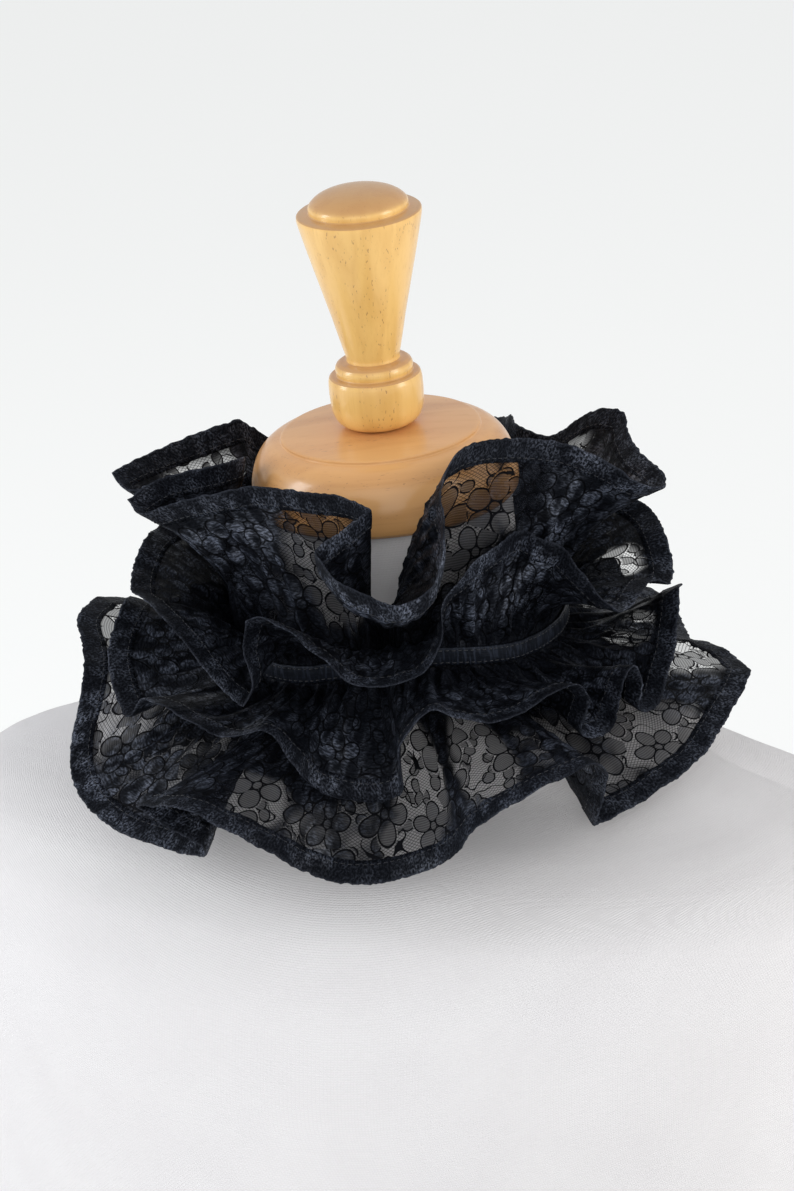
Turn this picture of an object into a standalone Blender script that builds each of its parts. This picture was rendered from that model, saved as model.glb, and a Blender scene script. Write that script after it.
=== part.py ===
"""Ruff collar of black lace on a limbless dress form.

Four gathered lace ruffles are sewn to a satin ribbon round the neck: two stand up and two
hang down, the wide pair on the inside and the narrow pair over it. The collar rests round
the neck of a jersey-covered bust form with a turned wooden neck cap and finial.
Millimetres are turned into metres by MM; the front of the form faces -Y and +Z is up.
"""
import bpy
import numpy as np

for old in list(bpy.data.objects):
    bpy.data.objects.remove(old, do_unlink=True)

MM = 0.001

# ---- driving dimensions, in millimetres -------------------------------------------------
FORM_HEIGHT = 385.0            # flat base to the top of the neck cap
SEAM_DROP = 88.0               # top of the neck cap down to the collar seam
SEAM_HEIGHT = FORM_HEIGHT - SEAM_DROP
COLLAR_TURN = 28.0             # degrees the collar is turned on the form
OPENING_TURN = 154.0           # where the collar opens, before that turn: the middle back
PIECE_GAP = 0.3                # clearance between sewn or seated pieces

CLOTH_WALL = 1.0               # lace, gathered
HEM_WALL = 1.7                 # lace folded double at the hem
WIDE_SEAM_RADIUS = 70.0        # the wide pair of ruffles is gathered here
NARROW_SEAM_RADIUS = WIDE_SEAM_RADIUS + CLOTH_WALL + PIECE_GAP
RIBBON_WALL = 0.9
RIBBON_WIDTH = 8.0
RIBBON_RADIUS = NARROW_SEAM_RADIUS + 0.5 * (CLOTH_WALL + RIBBON_WALL) + PIECE_GAP
OPENING_GAP = 1.2              # the two ends of every strip stand this far apart

CAP_RADIUS = 57.0
CAP_DEPTH = 29.7
CAP_DOME = 2.0                 # rise of the cap's middle, under the finial
NECK_RADIUS = 53.5

# ---- the ruffle hems --------------------------------------------------------------------
# One row for each bend of a hem, from the back opening round to the back opening again.
# turn: degrees round the neck; reach: from the neck's axis; rise: over the collar seam.
TURN, REACH, RISE = 0, 1, 2

WIDE_UPPER_HEM = [
    # turn, reach, rise
    (-206, 112, 52), (-200, 106, 55), (-196, 86, 66), (-184, 74, 70), (-174, 92, 62),
    (-168, 115, 50), (-158, 112, 50), (-154, 90, 60), (-146, 76, 64), (-136, 71, 71),
    (-127, 76, 82), (-113, 97, 77), (-99, 118, 73), (-95, 110, 68), (-91, 88, 75),
    (-82, 67, 82), (-73, 61, 87), (-69, 71, 88), (-71, 84, 87), (-75, 101, 83),
    (-75, 113, 77), (-66, 112, 77), (-58, 102, 83),
    (-50, 90, 87), (-43, 80, 88), (-28, 78, 88), (-12, 85, 88), (-4, 95, 86),
    (-8, 99, 83), (-14, 110, 79), (-16, 114, 76), (-14, 120, 73), (-11, 127, 69),
    (-6, 133, 64), (0, 137, 59), (6, 133, 64), (9, 125, 71), (12, 106, 80),
    (15, 86, 87), (20, 74, 90), (29, 67, 95), (40, 68, 96), (51, 71, 93),
    (58, 80, 90), (60, 94, 87), (61, 108, 80), (62, 121, 71), (65, 128, 68),
    (70, 124, 70), (76, 112, 74), (84, 106, 77), (91, 104, 83), (96, 97, 83),
    (105, 89, 75), (116, 80, 64), (128, 76, 66), (139, 88, 64), (148, 104, 56),
]
NARROW_UPPER_HEM = [
    (-206, 104, 38), (-197, 96, 44), (-186, 86, 50), (-176, 94, 46), (-165, 112, 32),
    (-152, 102, 40), (-142, 89, 50), (-126, 91, 47), (-108, 104, 42), (-98, 107, 42),
    (-86, 112, 36), (-78, 114, 34), (-66, 113, 35), (-52, 117, 30), (-44, 121, 23),
    (-38, 124, 15), (-33, 125, 9), (-31, 123, 17), (-34, 117, 30), (-36, 108, 40),
    (-33, 106, 41), (-26, 109, 39), (-20, 114, 34), (-14, 119, 25), (-9, 121, 19),
    (-2, 122, 19), (4, 119, 22), (8, 113, 31), (10, 103, 42), (15, 95, 48), (22, 86, 52),
    (32, 80, 54), (41, 76, 55), (46, 77, 55), (46, 87, 53), (48, 96, 49),
    (47, 105, 42), (47, 115, 32), (49, 121, 24), (56, 120, 24), (64, 118, 26),
    (71, 122, 19), (77, 121, 22), (86, 116, 33), (95, 110, 38), (106, 92, 46),
    (120, 84, 50), (134, 98, 43), (146, 108, 34),
]
NARROW_LOWER_HEM = [
    (-206, 112, -24), (-196, 110, -25), (-184, 118, -14), (-171, 124, -6), (-160, 112, -22),
    (-148, 110, -22), (-137, 120, -8), (-124, 120, -6), (-111, 116, 4), (-101, 118, 14),
    (-94, 121, 11), (-88, 126, 0), (-83, 126, -12), (-77, 124, -21), (-70, 125, -14),
    (-62, 126, -2), (-53, 127, 1),
    (-44, 127, -3), (-36, 127, -5), (-29, 127, 0), (-26, 126, -5), (-24, 123, -15),
    (-21, 118, -28), (-15, 113, -35), (-8, 112, -37), (-3, 116, -32), (-3, 122, -19),
    (-2, 125, -8), (1, 127, 3), (5, 126, 8), (9, 127, 3), (15, 127, -2),
    (21, 127, -1), (28, 127, 4), (34, 127, 4), (37, 126, -5), (35, 123, -18),
    (39, 119, -26), (44, 120, -25), (45, 124, -14), (46, 127, -2), (49, 127, 1),
    (52, 125, -10), (51, 125, -20), (56, 126, -23), (62, 126, -12), (67, 126, 0),
    (75, 124, 14), (84, 122, 8), (93, 114, -8), (104, 108, -14), (116, 112, -13),
    (127, 121, -10), (137, 118, -16), (146, 113, -22),
]
WIDE_LOWER_HEM = [
    (-206, 133, -46), (-196, 135, -44), (-184, 148, -28), (-174, 146, -30), (-164, 134, -46),
    (-152, 136, -42), (-141, 147, -28), (-130, 142, -16), (-118, 144, -2), (-110, 142, 4),
    (-103, 143, 3), (-97, 139, -2), (-91, 137, -6), (-84, 141, -18), (-80, 147, -30),
    (-77, 150, -43), (-71, 149, -51), (-63, 144, -57),
    (-55, 136, -61), (-49, 132, -62), (-44, 131, -61), (-42, 137, -53), (-44, 145, -45),
    (-49, 154, -33), (-45, 157, -28), (-38, 158, -26), (-31, 154, -34), (-26, 148, -44),
    (-21, 137, -58),
    (-15, 130, -66), (-7, 131, -65), (0, 137, -59), (5, 145, -50), (9, 153, -35),
    (15, 157, -26), (22, 159, -19), (28, 159, -18), (31, 155, -26), (30, 147, -46),
    (31, 139, -54), (39, 143, -50), (46, 147, -45), (52, 152, -39), (57, 153, -33),
    (62, 153, -28), (67, 154, -24), (72, 154, -21), (78, 145, -21), (86, 133, -22),
    (95, 127, -28), (108, 132, -37), (120, 142, -38), (131, 149, -35), (142, 142, -42),
]

# Bends where the folded hem turns a crisp corner, by their rows above.
CRISP_BENDS = {
    (-127, 76, 82), (-99, 118, 73), (-75, 113, 77), (-4, 95, 86), (65, 128, 68), (91, 104, 83),
    (-33, 125, 9), (-36, 108, 40), (49, 121, 24), (71, 122, 19), (46, 77, 55),
    (-77, 124, -21), (37, 126, -5), (75, 124, 14), (45, 124, -14),
    (-44, 131, -61), (-49, 154, -33), (31, 155, -26), (31, 139, -54), (72, 154, -21),
    (-196, 86, 66), (-146, 76, 64), (120, 84, 50),
}
CORNER_PULL = 0.75             # 0 leaves a crisp bend round, 1 makes its sides straight

# Where gathers are drawn along the seam: the turn that an even gather has, and its own.
WIDE_UPPER_PINS = [
    (-50, -50), (-28, -18.5), (-17, -11), (-12, -9), (20, -2.5), (28, 1), (38, 13.5), (56, 49),
    (66, 66),
]
WIDE_LOWER_PINS = [(-76, -76), (-56, -59.5), (-46, -46), (-36, -32.5), (-16, -16)]
PIN_EASING = 3.0               # degrees over which the steps between pins are eased

# Where the cloth bends close to the hem: the turn of an even gather, how far to each side
# the bend shows, and the bend's place from the hem, outwards and up.
WIDE_UPPER_ROLLS = [(4.0, 19.0, 3.0, -24.0)]
NARROW_LOWER_ROLLS = [(-14.0, 9.5, 8.0, 13.0)]

# The ribbon rides up at the front of the neck.
FRONT_LIFT = 10.0
LIFT_TURN = 2.0
LIFT_SPREAD = 22.0

# ---- the dress form ---------------------------------------------------------------------
# One row for each level of the bust, from the neck down. drop: below the collar seam;
# half_width and half_depth: the section; square: 2 is an ellipse, more is squarer.
DROP, HALF_WIDTH, HALF_DEPTH, SQUARE = 0, 1, 2, 3
FORM_LEVELS = [
    # drop, half_width, half_depth, square
    (-58.0, NECK_RADIUS, NECK_RADIUS, 2.0),
    (-30.0, 53.5, 53.5, 2.0),
    (-8.0, 55.5, 55.5, 2.0),
    (5.0, 60.0, 60.0, 2.0),
    (12.0, 70.0, 64.0, 2.0),
    (17.6, 82.0, 65.0, 2.0),
    (25.0, 100.0, 66.0, 2.0),
    (38.0, 126.0, 67.0, 2.0),
    (52.0, 151.0, 70.0, 2.0),
    (62.0, 180.0, 76.0, 2.0),
    (72.0, 206.0, 85.0, 2.05),
    (86.0, 223.0, 98.0, 2.15),
    (104.0, 231.0, 113.0, 2.2),
    (133.0, 234.0, 127.0, 2.3),
    (175.0, 234.0, 136.0, 2.3),
    (230.0, 230.0, 137.0, 2.3),
    (SEAM_HEIGHT - 8.0, 225.0, 133.0, 2.3),
    (SEAM_HEIGHT - 2.0, 222.0, 130.5, 2.3),
    (SEAM_HEIGHT, 217.0, 125.0, 2.3),
]
FORM_SIDES = 44

# ---- the turned wood --------------------------------------------------------------------
# One row for each turned bend, outwards and down or upwards, as (radius, height).
CAP_PROFILE = [
    # radius, height over the cap's top edge
    (13.0, CAP_DOME), (28.0, 1.2), (42.0, 0.0), (42.6, -1.2), (47.5, -2.8),
    (51.5, -6.0), (54.6, -10.5), (56.5, -16.0), (CAP_RADIUS, -22.0), (CAP_RADIUS, -27.5),
    (55.8, -CAP_DEPTH),
]
FINIAL_PROFILE = [
    # radius, height over the finial's foot
    (12.0, 0.0), (15.2, 1.2), (18.0, 4.2), (19.6, 9.0), (20.0, 15.0), (19.9, 21.0),
    (19.3, 22.6), (16.4, 23.6), (16.5, 26.2), (16.1, 27.9), (11.9, 29.3), (11.6, 31.5),
    (12.9, 36.0), (14.5, 43.0), (16.8, 53.0), (19.9, 65.0), (23.0, 77.0), (25.6, 88.0),
    (26.5, 93.4), (26.1, 94.7), (21.4, 95.7), (21.2, 98.2), (19.6, 99.8), (16.0, 102.0),
    (10.5, 103.9), (5.0, 104.8),
]
CAP_SIDES = 44
FINIAL_SIDES = 28

# ---- how finely each ruffle is drawn ------------------------------------------------------
# across: share of the cloth's width, from the ribbon's edge to the hem's folded edge
WIDE_ACROSS = (0.0, 0.30, 0.62, 0.88, 1.0)
NARROW_ACROSS = (0.0, 0.42, 0.80, 1.0)
WIDE_STATIONS = 152
NARROW_STATIONS = 142
SEAM_EVENING = 24.0            # degrees over which the gathers are shared out along the seam


def polar(turn, reach, height):
    """Places at a turn round the neck (0 at the front), a reach and a height."""
    angle = np.radians(turn)
    return np.stack([reach * np.sin(angle), -reach * np.cos(angle), height + 0.0 * angle], -1)


def smooth_loop(points, crisp, steps=24):
    """A closed curve through the points, evened by the distance between them. A crisp point
    is turned as a corner.
    """
    curve = []
    count = len(points)
    for i in range(count):
        before, start, end, after = (points[(i + k) % count] for k in (-1, 0, 1, 2))
        first, middle, last = (np.sqrt(np.linalg.norm(b - a)) for a, b in
                               ((before, start), (start, end), (end, after)))
        chord = end - start
        leave = chord + middle * ((start - before) / first - (end - before) / (first + middle))
        arrive = chord + middle * ((after - end) / last - (after - start) / (middle + last))
        leave = leave + CORNER_PULL * crisp[i] * (chord - leave)
        arrive = arrive + CORNER_PULL * crisp[(i + 1) % count] * (chord - arrive)
        for s in np.arange(steps) / steps:
            curve.append((2 * s**3 - 3 * s**2 + 1) * start + (s**3 - 2 * s**2 + s) * leave
                         + (3 * s**2 - 2 * s**3) * end + (s**3 - s**2) * arrive)
    return np.array(curve)


def walk(curve, stations, end_gap):
    """Evenly spaced places along a closed curve, stopping short of both ends."""
    closed = np.vstack([curve, curve[:1]])
    along = np.concatenate([[0.0], np.cumsum(np.linalg.norm(np.diff(closed, axis=0), axis=1))])
    share = np.linspace(0.5 * end_gap / along[-1], 1.0 - 0.5 * end_gap / along[-1], stations + 1)
    places = np.stack([np.interp(share * along[-1], along, closed[:, k]) for k in range(3)], 1)
    return places, share


def seam_turns(hem, share):
    """The turn at which each station is gathered to the seam: even, but following the folds."""
    turns = np.degrees(np.unwrap(np.arctan2(hem[:, 0], -hem[:, 1])))
    lead = turns - 360.0 * share
    distance = 360.0 * np.abs(share[:, None] - share[None, :])
    distance = np.minimum(distance, 360.0 - distance)
    weight = np.exp(-0.5 * (distance / SEAM_EVENING) ** 2)
    even = 360.0 * share + weight @ lead / weight.sum(axis=1)
    return even + OPENING_TURN - 360.0 - 0.5 * (even[0] + even[-1] - 360.0)


def drawn_along(even, pins):
    """The gathers drawn along the seam to the pins, with the steps between them eased."""
    if not pins:
        return even
    start, end = np.array(pins, float).T
    shifted = [even + step for step in np.linspace(-PIN_EASING, PIN_EASING, 7)]
    return np.mean([np.where((t > start[0]) & (t < start[-1]), np.interp(t, start, end), t)
                    for t in shifted], axis=0)


def seam_rise(turns):
    """How much higher the ribbon rides at a turn: it lifts at the front of the neck."""
    return FRONT_LIFT * np.exp(-0.5 * ((turns - LIFT_TURN) / LIFT_SPREAD) ** 2)


def ruffle_surface(rows, stations, across, seam_radius, sewn, upward, outward, spring, pins,
                   firmer, rolls):
    """Mid-surface of one ruffle: a grid of places, stations by across, in millimetres."""
    crisp = [bend in CRISP_BENDS for bend in rows]
    rows = np.array(rows, float)
    bends = polar(rows[:, TURN], rows[:, REACH], rows[:, RISE])
    hem, share = walk(smooth_loop(bends, crisp), stations, OPENING_GAP)
    even = seam_turns(hem, share)
    turns = drawn_along(even, pins)
    seam = polar(turns, seam_radius, 0.5 * PIECE_GAP * upward + seam_rise(turns))
    edge = polar(turns, seam_radius, sewn * upward + seam_rise(turns))
    leave = outward * polar(turns, 1.0, 0.0) + np.array([0.0, 0.0, upward])
    leave /= np.linalg.norm(leave, axis=1)[:, None]
    span = np.linalg.norm(hem - edge, axis=1)[:, None]
    strength = spring + 0.0 * span
    for turn, more, spread in firmer:
        strength += more * np.exp(-0.5 * ((even[:, None] - turn) / spread) ** 2)
    pull = edge + strength * span * leave
    near_hem = (hem + 2.0 * pull) / 3.0
    for turn, half, out, up in rolls:
        share = 1.0 / (1.0 + ((even[:, None] - turn) / half) ** 8)
        reach = np.hypot(hem[:, :1], hem[:, 1:2])
        bend = hem + hem * [1.0, 1.0, 0.0] * out / reach + np.array([0.0, 0.0, up])
        near_hem = near_hem + share * (bend - near_hem)
    t = np.array(across)[None, :, None]
    free = ((1 - t) ** 3 * edge[:, None] + t * (1 - t) ** 2 * (edge + 2.0 * pull)[:, None]
            + 3 * t ** 2 * (1 - t) * near_hem[:, None] + t ** 3 * hem[:, None])
    return np.concatenate([seam[:, None], free], axis=1)


def grid_normals(grid):
    """Unit normals over a grid of places."""
    along = np.gradient(grid, axis=0)
    side = np.gradient(grid, axis=1)
    normal = np.cross(along, side)
    return normal / np.linalg.norm(normal, axis=2)[..., None]


def add_object(name, vertices, faces, material, smooth=True):
    """One named object from vertices in metres and outward faces."""
    mesh = bpy.data.meshes.new(name)
    mesh.from_pydata([tuple(v) for v in vertices], [], faces)
    mesh.validate()
    if smooth:
        mesh.shade_smooth()
    item = bpy.data.objects.new(name, mesh)
    bpy.context.scene.collection.objects.link(item)
    mesh.materials.append(material)
    return item


def make_material(name, colour, roughness, metallic=0.0):
    material = bpy.data.materials.new(name)
    material.use_nodes = True
    shader = material.node_tree.nodes["Principled BSDF"]
    shader.inputs["Base Color"].default_value = (*colour, 1.0)
    shader.inputs["Roughness"].default_value = roughness
    shader.inputs["Metallic"].default_value = metallic
    return material


def turn_and_place(places):
    """From the collar's own frame to the part's frame, in metres."""
    angle = np.radians(COLLAR_TURN)
    c, s = np.cos(angle), np.sin(angle)
    x, y, z = places[..., 0], places[..., 1], places[..., 2]
    return MM * np.stack([c * x - s * y, s * x + c * y, z + SEAM_HEIGHT], -1)


def strip_wall(name, grid, walls, material):
    """A closed cloth wall round a mid-surface grid, open at neither edge nor end."""
    half = 0.5 * np.array(walls)[None, :, None] * grid_normals(grid)
    rows, columns = grid.shape[:2]
    vertices = np.concatenate([(grid + half).reshape(-1, 3), (grid - half).reshape(-1, 3)])
    under = rows * columns

    def at(i, j, side):
        return side * under + i * columns + j

    faces = []
    for i in range(rows - 1):
        for j in range(columns - 1):
            a, b, c, d = at(i, j, 0), at(i + 1, j, 0), at(i + 1, j + 1, 0), at(i, j + 1, 0)
            faces.append((a, b, c, d))
            faces.append(tuple(under + v for v in (d, c, b, a)))
        for j, flip in ((0, False), (columns - 1, True)):
            edge = (at(i, j, 0), at(i, j, 1), at(i + 1, j, 1), at(i + 1, j, 0))
            faces.append(edge[::-1] if flip else edge)
    for j in range(columns - 1):
        for i, flip in ((0, True), (rows - 1, False)):
            edge = (at(i, j, 0), at(i, j, 1), at(i, j + 1, 1), at(i, j + 1, 0))
            faces.append(edge[::-1] if flip else edge)
    return add_object(name, turn_and_place(vertices), faces, material)


def lathe(name, profile, sides, base, material):
    """A turned solid about the neck's axis from (radius, height) rows, in millimetres."""
    angles = np.linspace(0.0, 2.0 * np.pi, sides, endpoint=False)
    vertices = [(r * np.cos(a), r * np.sin(a), z + base) for r, z in profile for a in angles]
    faces = []
    for ring in range(len(profile) - 1):
        for i in range(sides):
            k = (i + 1) % sides
            faces.append((ring * sides + i, ring * sides + k,
                          (ring + 1) * sides + k, (ring + 1) * sides + i))
    last = (len(profile) - 1) * sides
    low_cap = tuple(range(sides))[::-1]
    high_cap = tuple(last + i for i in range(sides))
    if profile[0][1] > profile[-1][1]:
        faces = [face[::-1] for face in faces]
        low_cap, high_cap = low_cap[::-1], high_cap[::-1]
    faces += [low_cap, high_cap]
    return add_object(name, MM * np.array(vertices), faces, material)


def eased(levels, per_row):
    """Rows between the named levels, eased so that no level shows as a ridge."""
    table = np.array(levels, float)
    drops = [table[0, DROP]]
    for low, high in zip(table[:-1, DROP], table[1:, DROP]):
        parts = per_row if high - low > 9.0 else 1
        drops += list(low + (high - low) * np.arange(1, parts + 1) / parts)
    slopes = np.zeros_like(table)
    for k in range(1, len(table) - 1):
        before = (table[k] - table[k - 1]) / (table[k, DROP] - table[k - 1, DROP])
        after = (table[k + 1] - table[k]) / (table[k + 1, DROP] - table[k, DROP])
        agree = before * after > 0
        slopes[k] = np.where(agree, 2 * before * after / np.where(agree, before + after, 1), 0)
    out = []
    for drop in drops:
        k = min(max(np.searchsorted(table[:, DROP], drop) - 1, 0), len(table) - 2)
        width = table[k + 1, DROP] - table[k, DROP]
        s = (drop - table[k, DROP]) / width
        row = ((2 * s**3 - 3 * s**2 + 1) * table[k] + (s**3 - 2 * s**2 + s) * width * slopes[k]
               + (3 * s**2 - 2 * s**3) * table[k + 1] + (s**3 - s**2) * width * slopes[k + 1])
        row[DROP] = drop
        out.append(row)
    return out


def bust(name, levels, sides, material):
    """The dress form: squared ellipses lofted from the neck to a flat base."""
    rows = eased(levels, 1)
    angles = np.linspace(0.0, 2.0 * np.pi, sides, endpoint=False)
    vertices, faces = [], []
    for drop, half_width, half_depth, square in rows:
        power = 2.0 / square
        for a in angles:
            x = np.sign(np.cos(a)) * abs(np.cos(a)) ** power
            y = np.sign(np.sin(a)) * abs(np.sin(a)) ** power
            vertices.append((half_width * x, half_depth * y, SEAM_HEIGHT - drop))
    for ring in range(len(rows) - 1):
        for i in range(sides):
            k = (i + 1) % sides
            faces.append((ring * sides + i, (ring + 1) * sides + i,
                          (ring + 1) * sides + k, ring * sides + k))
    last = (len(rows) - 1) * sides
    faces.append(tuple(range(sides)))
    faces.append(tuple(last + i for i in range(sides))[::-1])
    return add_object(name, MM * np.array(vertices), faces, material)


def wire(name, path, radius, sides, material):
    """A round wire through places in the collar's own frame."""
    path = np.array(path, float)
    tangent = np.gradient(path, axis=0)
    tangent /= np.linalg.norm(tangent, axis=1)[:, None]
    outward = path * [1.0, 1.0, 0.0]
    across = np.cross(tangent, outward / np.linalg.norm(outward, axis=1)[:, None])
    across /= np.linalg.norm(across, axis=1)[:, None]
    up = np.cross(across, tangent)
    vertices, faces = [], []
    for place, a, b in zip(path, across, up):
        for k in range(sides):
            turn = 2 * np.pi * k / sides
            vertices.append(place + radius * (np.cos(turn) * a + np.sin(turn) * b))
    for i in range(len(path) - 1):
        for k in range(sides):
            m = (k + 1) % sides
            faces.append((i * sides + k, (i + 1) * sides + k,
                          (i + 1) * sides + m, i * sides + m))
    last = (len(path) - 1) * sides
    faces.append(tuple(range(sides)))
    faces.append(tuple(last + k for k in range(sides))[::-1])
    return add_object(name, turn_and_place(np.array(vertices)), faces, material)


lace = make_material("black_lace", (0.012, 0.012, 0.016), 0.55)
satin = make_material("black_satin", (0.015, 0.015, 0.020), 0.32)
jersey = make_material("white_jersey", (0.86, 0.85, 0.86), 0.85)
honey_wood = make_material("honey_wood", (0.62, 0.36, 0.13), 0.35)
steel = make_material("blackened_steel", (0.10, 0.10, 0.11), 0.35, 1.0)

wide_walls = (CLOTH_WALL, CLOTH_WALL, CLOTH_WALL, CLOTH_WALL, HEM_WALL, HEM_WALL)
narrow_walls = (CLOTH_WALL, CLOTH_WALL, CLOTH_WALL, HEM_WALL, HEM_WALL)

# One row for each ruffle: its hem, where it is gathered, how far it lies flat under the
# ribbon before it is free, and how it leaves the ribbon (up or down, outwards, and how
# stiffly). Pins are where its gathers are drawn along the seam; firmer rows are (turn, how
# much more stiffly, spread in degrees); rolls are its bends close to the hem.
RUFFLES = [
    # name, hem, stations, across, seam radius, sewn, upward, outward, spring, pins, firmer,
    # rolls, walls
    ("wide_upper_ruffle", WIDE_UPPER_HEM, WIDE_STATIONS, WIDE_ACROSS, WIDE_SEAM_RADIUS,
     4.8, 1, 0.0, 0.40, WIDE_UPPER_PINS, [(18.0, 0.35, 12.0)], WIDE_UPPER_ROLLS,
     wide_walls),
    ("narrow_upper_ruffle", NARROW_UPPER_HEM, NARROW_STATIONS, NARROW_ACROSS,
     NARROW_SEAM_RADIUS, 4.8, 1, 0.3, 0.35, [], [(-5.0, -0.24, 13.0)], [], narrow_walls),
    ("narrow_lower_ruffle", NARROW_LOWER_HEM, NARROW_STATIONS, NARROW_ACROSS,
     NARROW_SEAM_RADIUS, 4.8, -1, 2.0, 0.20, [], [], NARROW_LOWER_ROLLS, narrow_walls),
    ("wide_lower_ruffle", WIDE_LOWER_HEM, WIDE_STATIONS, WIDE_ACROSS, WIDE_SEAM_RADIUS,
     7.5, -1, 0.25, 0.11, WIDE_LOWER_PINS, [], [], wide_walls),
]
for name, hem, stations, across, radius, sewn, up, out, spring, *ways, walls in RUFFLES:
    strip_wall(name, ruffle_surface(hem, stations, across, radius, sewn, up, out, spring, *ways),
               walls, lace)

ribbon_turns = np.linspace(OPENING_TURN - 359.5, OPENING_TURN - 0.5, 61)
ribbon_levels = np.array([-0.5, 0.5]) * RIBBON_WIDTH
ribbon_grid = np.stack([polar(ribbon_turns, RIBBON_RADIUS, level + seam_rise(ribbon_turns))
                        for level in ribbon_levels], 1)
strip_wall("neck_ribbon", ribbon_grid, (RIBBON_WALL, RIBBON_WALL), satin)

lathe("neck_cap", CAP_PROFILE, CAP_SIDES, FORM_HEIGHT, honey_wood)
lathe("finial", FINIAL_PROFILE, FINIAL_SIDES, FORM_HEIGHT + CAP_DOME + PIECE_GAP, honey_wood)
bust("dress_form", FORM_LEVELS, FORM_SIDES, jersey)

# A flat wire hook and its eye close the ribbon at the back, one sewn to each end.
WIRE_RADIUS = 0.6
HOOK_REACH = RIBBON_RADIUS + 0.5 * RIBBON_WALL + WIRE_RADIUS + PIECE_GAP


def at_back(along, lift, height):
    """A place at the back opening: along the ribbon, out from it, and up, in millimetres."""
    reach = HOOK_REACH + lift
    return polar(OPENING_TURN + np.degrees(along / reach), reach, height)


hook_path = [at_back(*p) for p in ((-7.0, 0.0, 1.6), (-3.0, 0.0, 1.6), (0.5, 0.2, 1.4),
                                   (2.6, 0.9, 0.9), (3.0, 1.6, 0.0), (2.6, 2.1, -0.9),
                                   (0.5, 2.3, -1.4), (-1.5, 2.3, -1.5))]
eye_path = [at_back(*p) for p in ((8.0, 0.0, 2.3), (5.6, 0.0, 2.3), (4.9, 0.0, 1.2),
                                  (4.7, 0.0, 0.0), (4.9, 0.0, -1.2), (5.6, 0.0, -2.3),
                                  (8.0, 0.0, -2.3))]
wire("back_hook", hook_path, WIRE_RADIUS, 8, steel)
wire("back_eye", eye_path, WIRE_RADIUS, 8, steel)
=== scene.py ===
"""Looks for the black lace ruff collar on its dress form.

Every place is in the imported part's own frame, in metres. The collar's own sizes below are in
millimetres, as the part's source has them, and its front is turned by COLLAR_TURN.
"""

import math
from collections import namedtuple

import bmesh
import bpy
import numpy as np
from mathutils import Matrix, Vector


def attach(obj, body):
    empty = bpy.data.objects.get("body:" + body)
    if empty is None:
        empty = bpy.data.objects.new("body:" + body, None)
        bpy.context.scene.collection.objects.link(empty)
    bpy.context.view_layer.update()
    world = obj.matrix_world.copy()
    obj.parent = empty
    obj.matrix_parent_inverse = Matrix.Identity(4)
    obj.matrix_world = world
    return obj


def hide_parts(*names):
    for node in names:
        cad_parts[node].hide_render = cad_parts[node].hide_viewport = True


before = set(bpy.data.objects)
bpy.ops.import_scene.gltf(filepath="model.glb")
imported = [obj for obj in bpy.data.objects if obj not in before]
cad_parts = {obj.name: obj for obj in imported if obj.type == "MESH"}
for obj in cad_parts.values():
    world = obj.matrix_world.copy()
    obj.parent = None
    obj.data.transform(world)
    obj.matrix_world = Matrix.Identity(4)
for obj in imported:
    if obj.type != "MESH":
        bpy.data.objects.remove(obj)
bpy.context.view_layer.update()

MM = 0.001

# ---- sizes shared with the solids, in millimetres ----
FORM_HEIGHT = 385.0            # flat base to the top of the neck cap
SEAM_DROP = 88.0               # top of the neck cap down to the collar seam
SEAM_HEIGHT = FORM_HEIGHT - SEAM_DROP
COLLAR_TURN = 28.0             # degrees the collar is turned on the form
OPENING_TURN = 154.0           # where the collar opens, before that turn: the middle back
PIECE_GAP = 0.3
CLOTH_WALL = 1.0
WIDE_SEAM_RADIUS = 70.0
NARROW_SEAM_RADIUS = WIDE_SEAM_RADIUS + CLOTH_WALL + PIECE_GAP
RIBBON_WALL = 0.9
RIBBON_WIDTH = 8.0
RIBBON_RADIUS = NARROW_SEAM_RADIUS + 0.5 * (CLOTH_WALL + RIBBON_WALL) + PIECE_GAP
OPENING_GAP = 1.2              # the two ends of every strip stand this far apart
CAP_RADIUS = 57.0
CAP_DEPTH = 29.7
CAP_DOME = 2.0
NECK_RADIUS = 53.5
SEAM_EVENING = 24.0            # degrees over which the gathers are shared out along the seam
HEM_DEPTH = 10.5               # the hem is folded up this deep
NECK_EDGE = 500.0              # each curved strip's neck edge before it is gathered

# ---- camera: as far off as a portrait lens stands, looking a little down ----
VIEW_DISTANCE = 2.6
VIEW_DROP = math.radians(21.0)
VIEW_ROLL = math.radians(5.7)
AIM = Vector((0.0, 0.0, 0.308))
PIXEL_SIZE = 0.43e-3           # one pixel at the neck's axis
VIEW_PIXELS = 1191             # the view's height
SENSOR = 36.0


def about_neck(vector):
    """A direction turned with the collar on the form."""
    c, s = math.cos(math.radians(COLLAR_TURN)), math.sin(math.radians(COLLAR_TURN))
    return Vector((c * vector[0] - s * vector[1], s * vector[0] + c * vector[1], vector[2]))


def put(name, data):
    """A new object in the scene that holds the data."""
    item = bpy.data.objects.new(name, data)
    bpy.context.scene.collection.objects.link(item)
    return item


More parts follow.
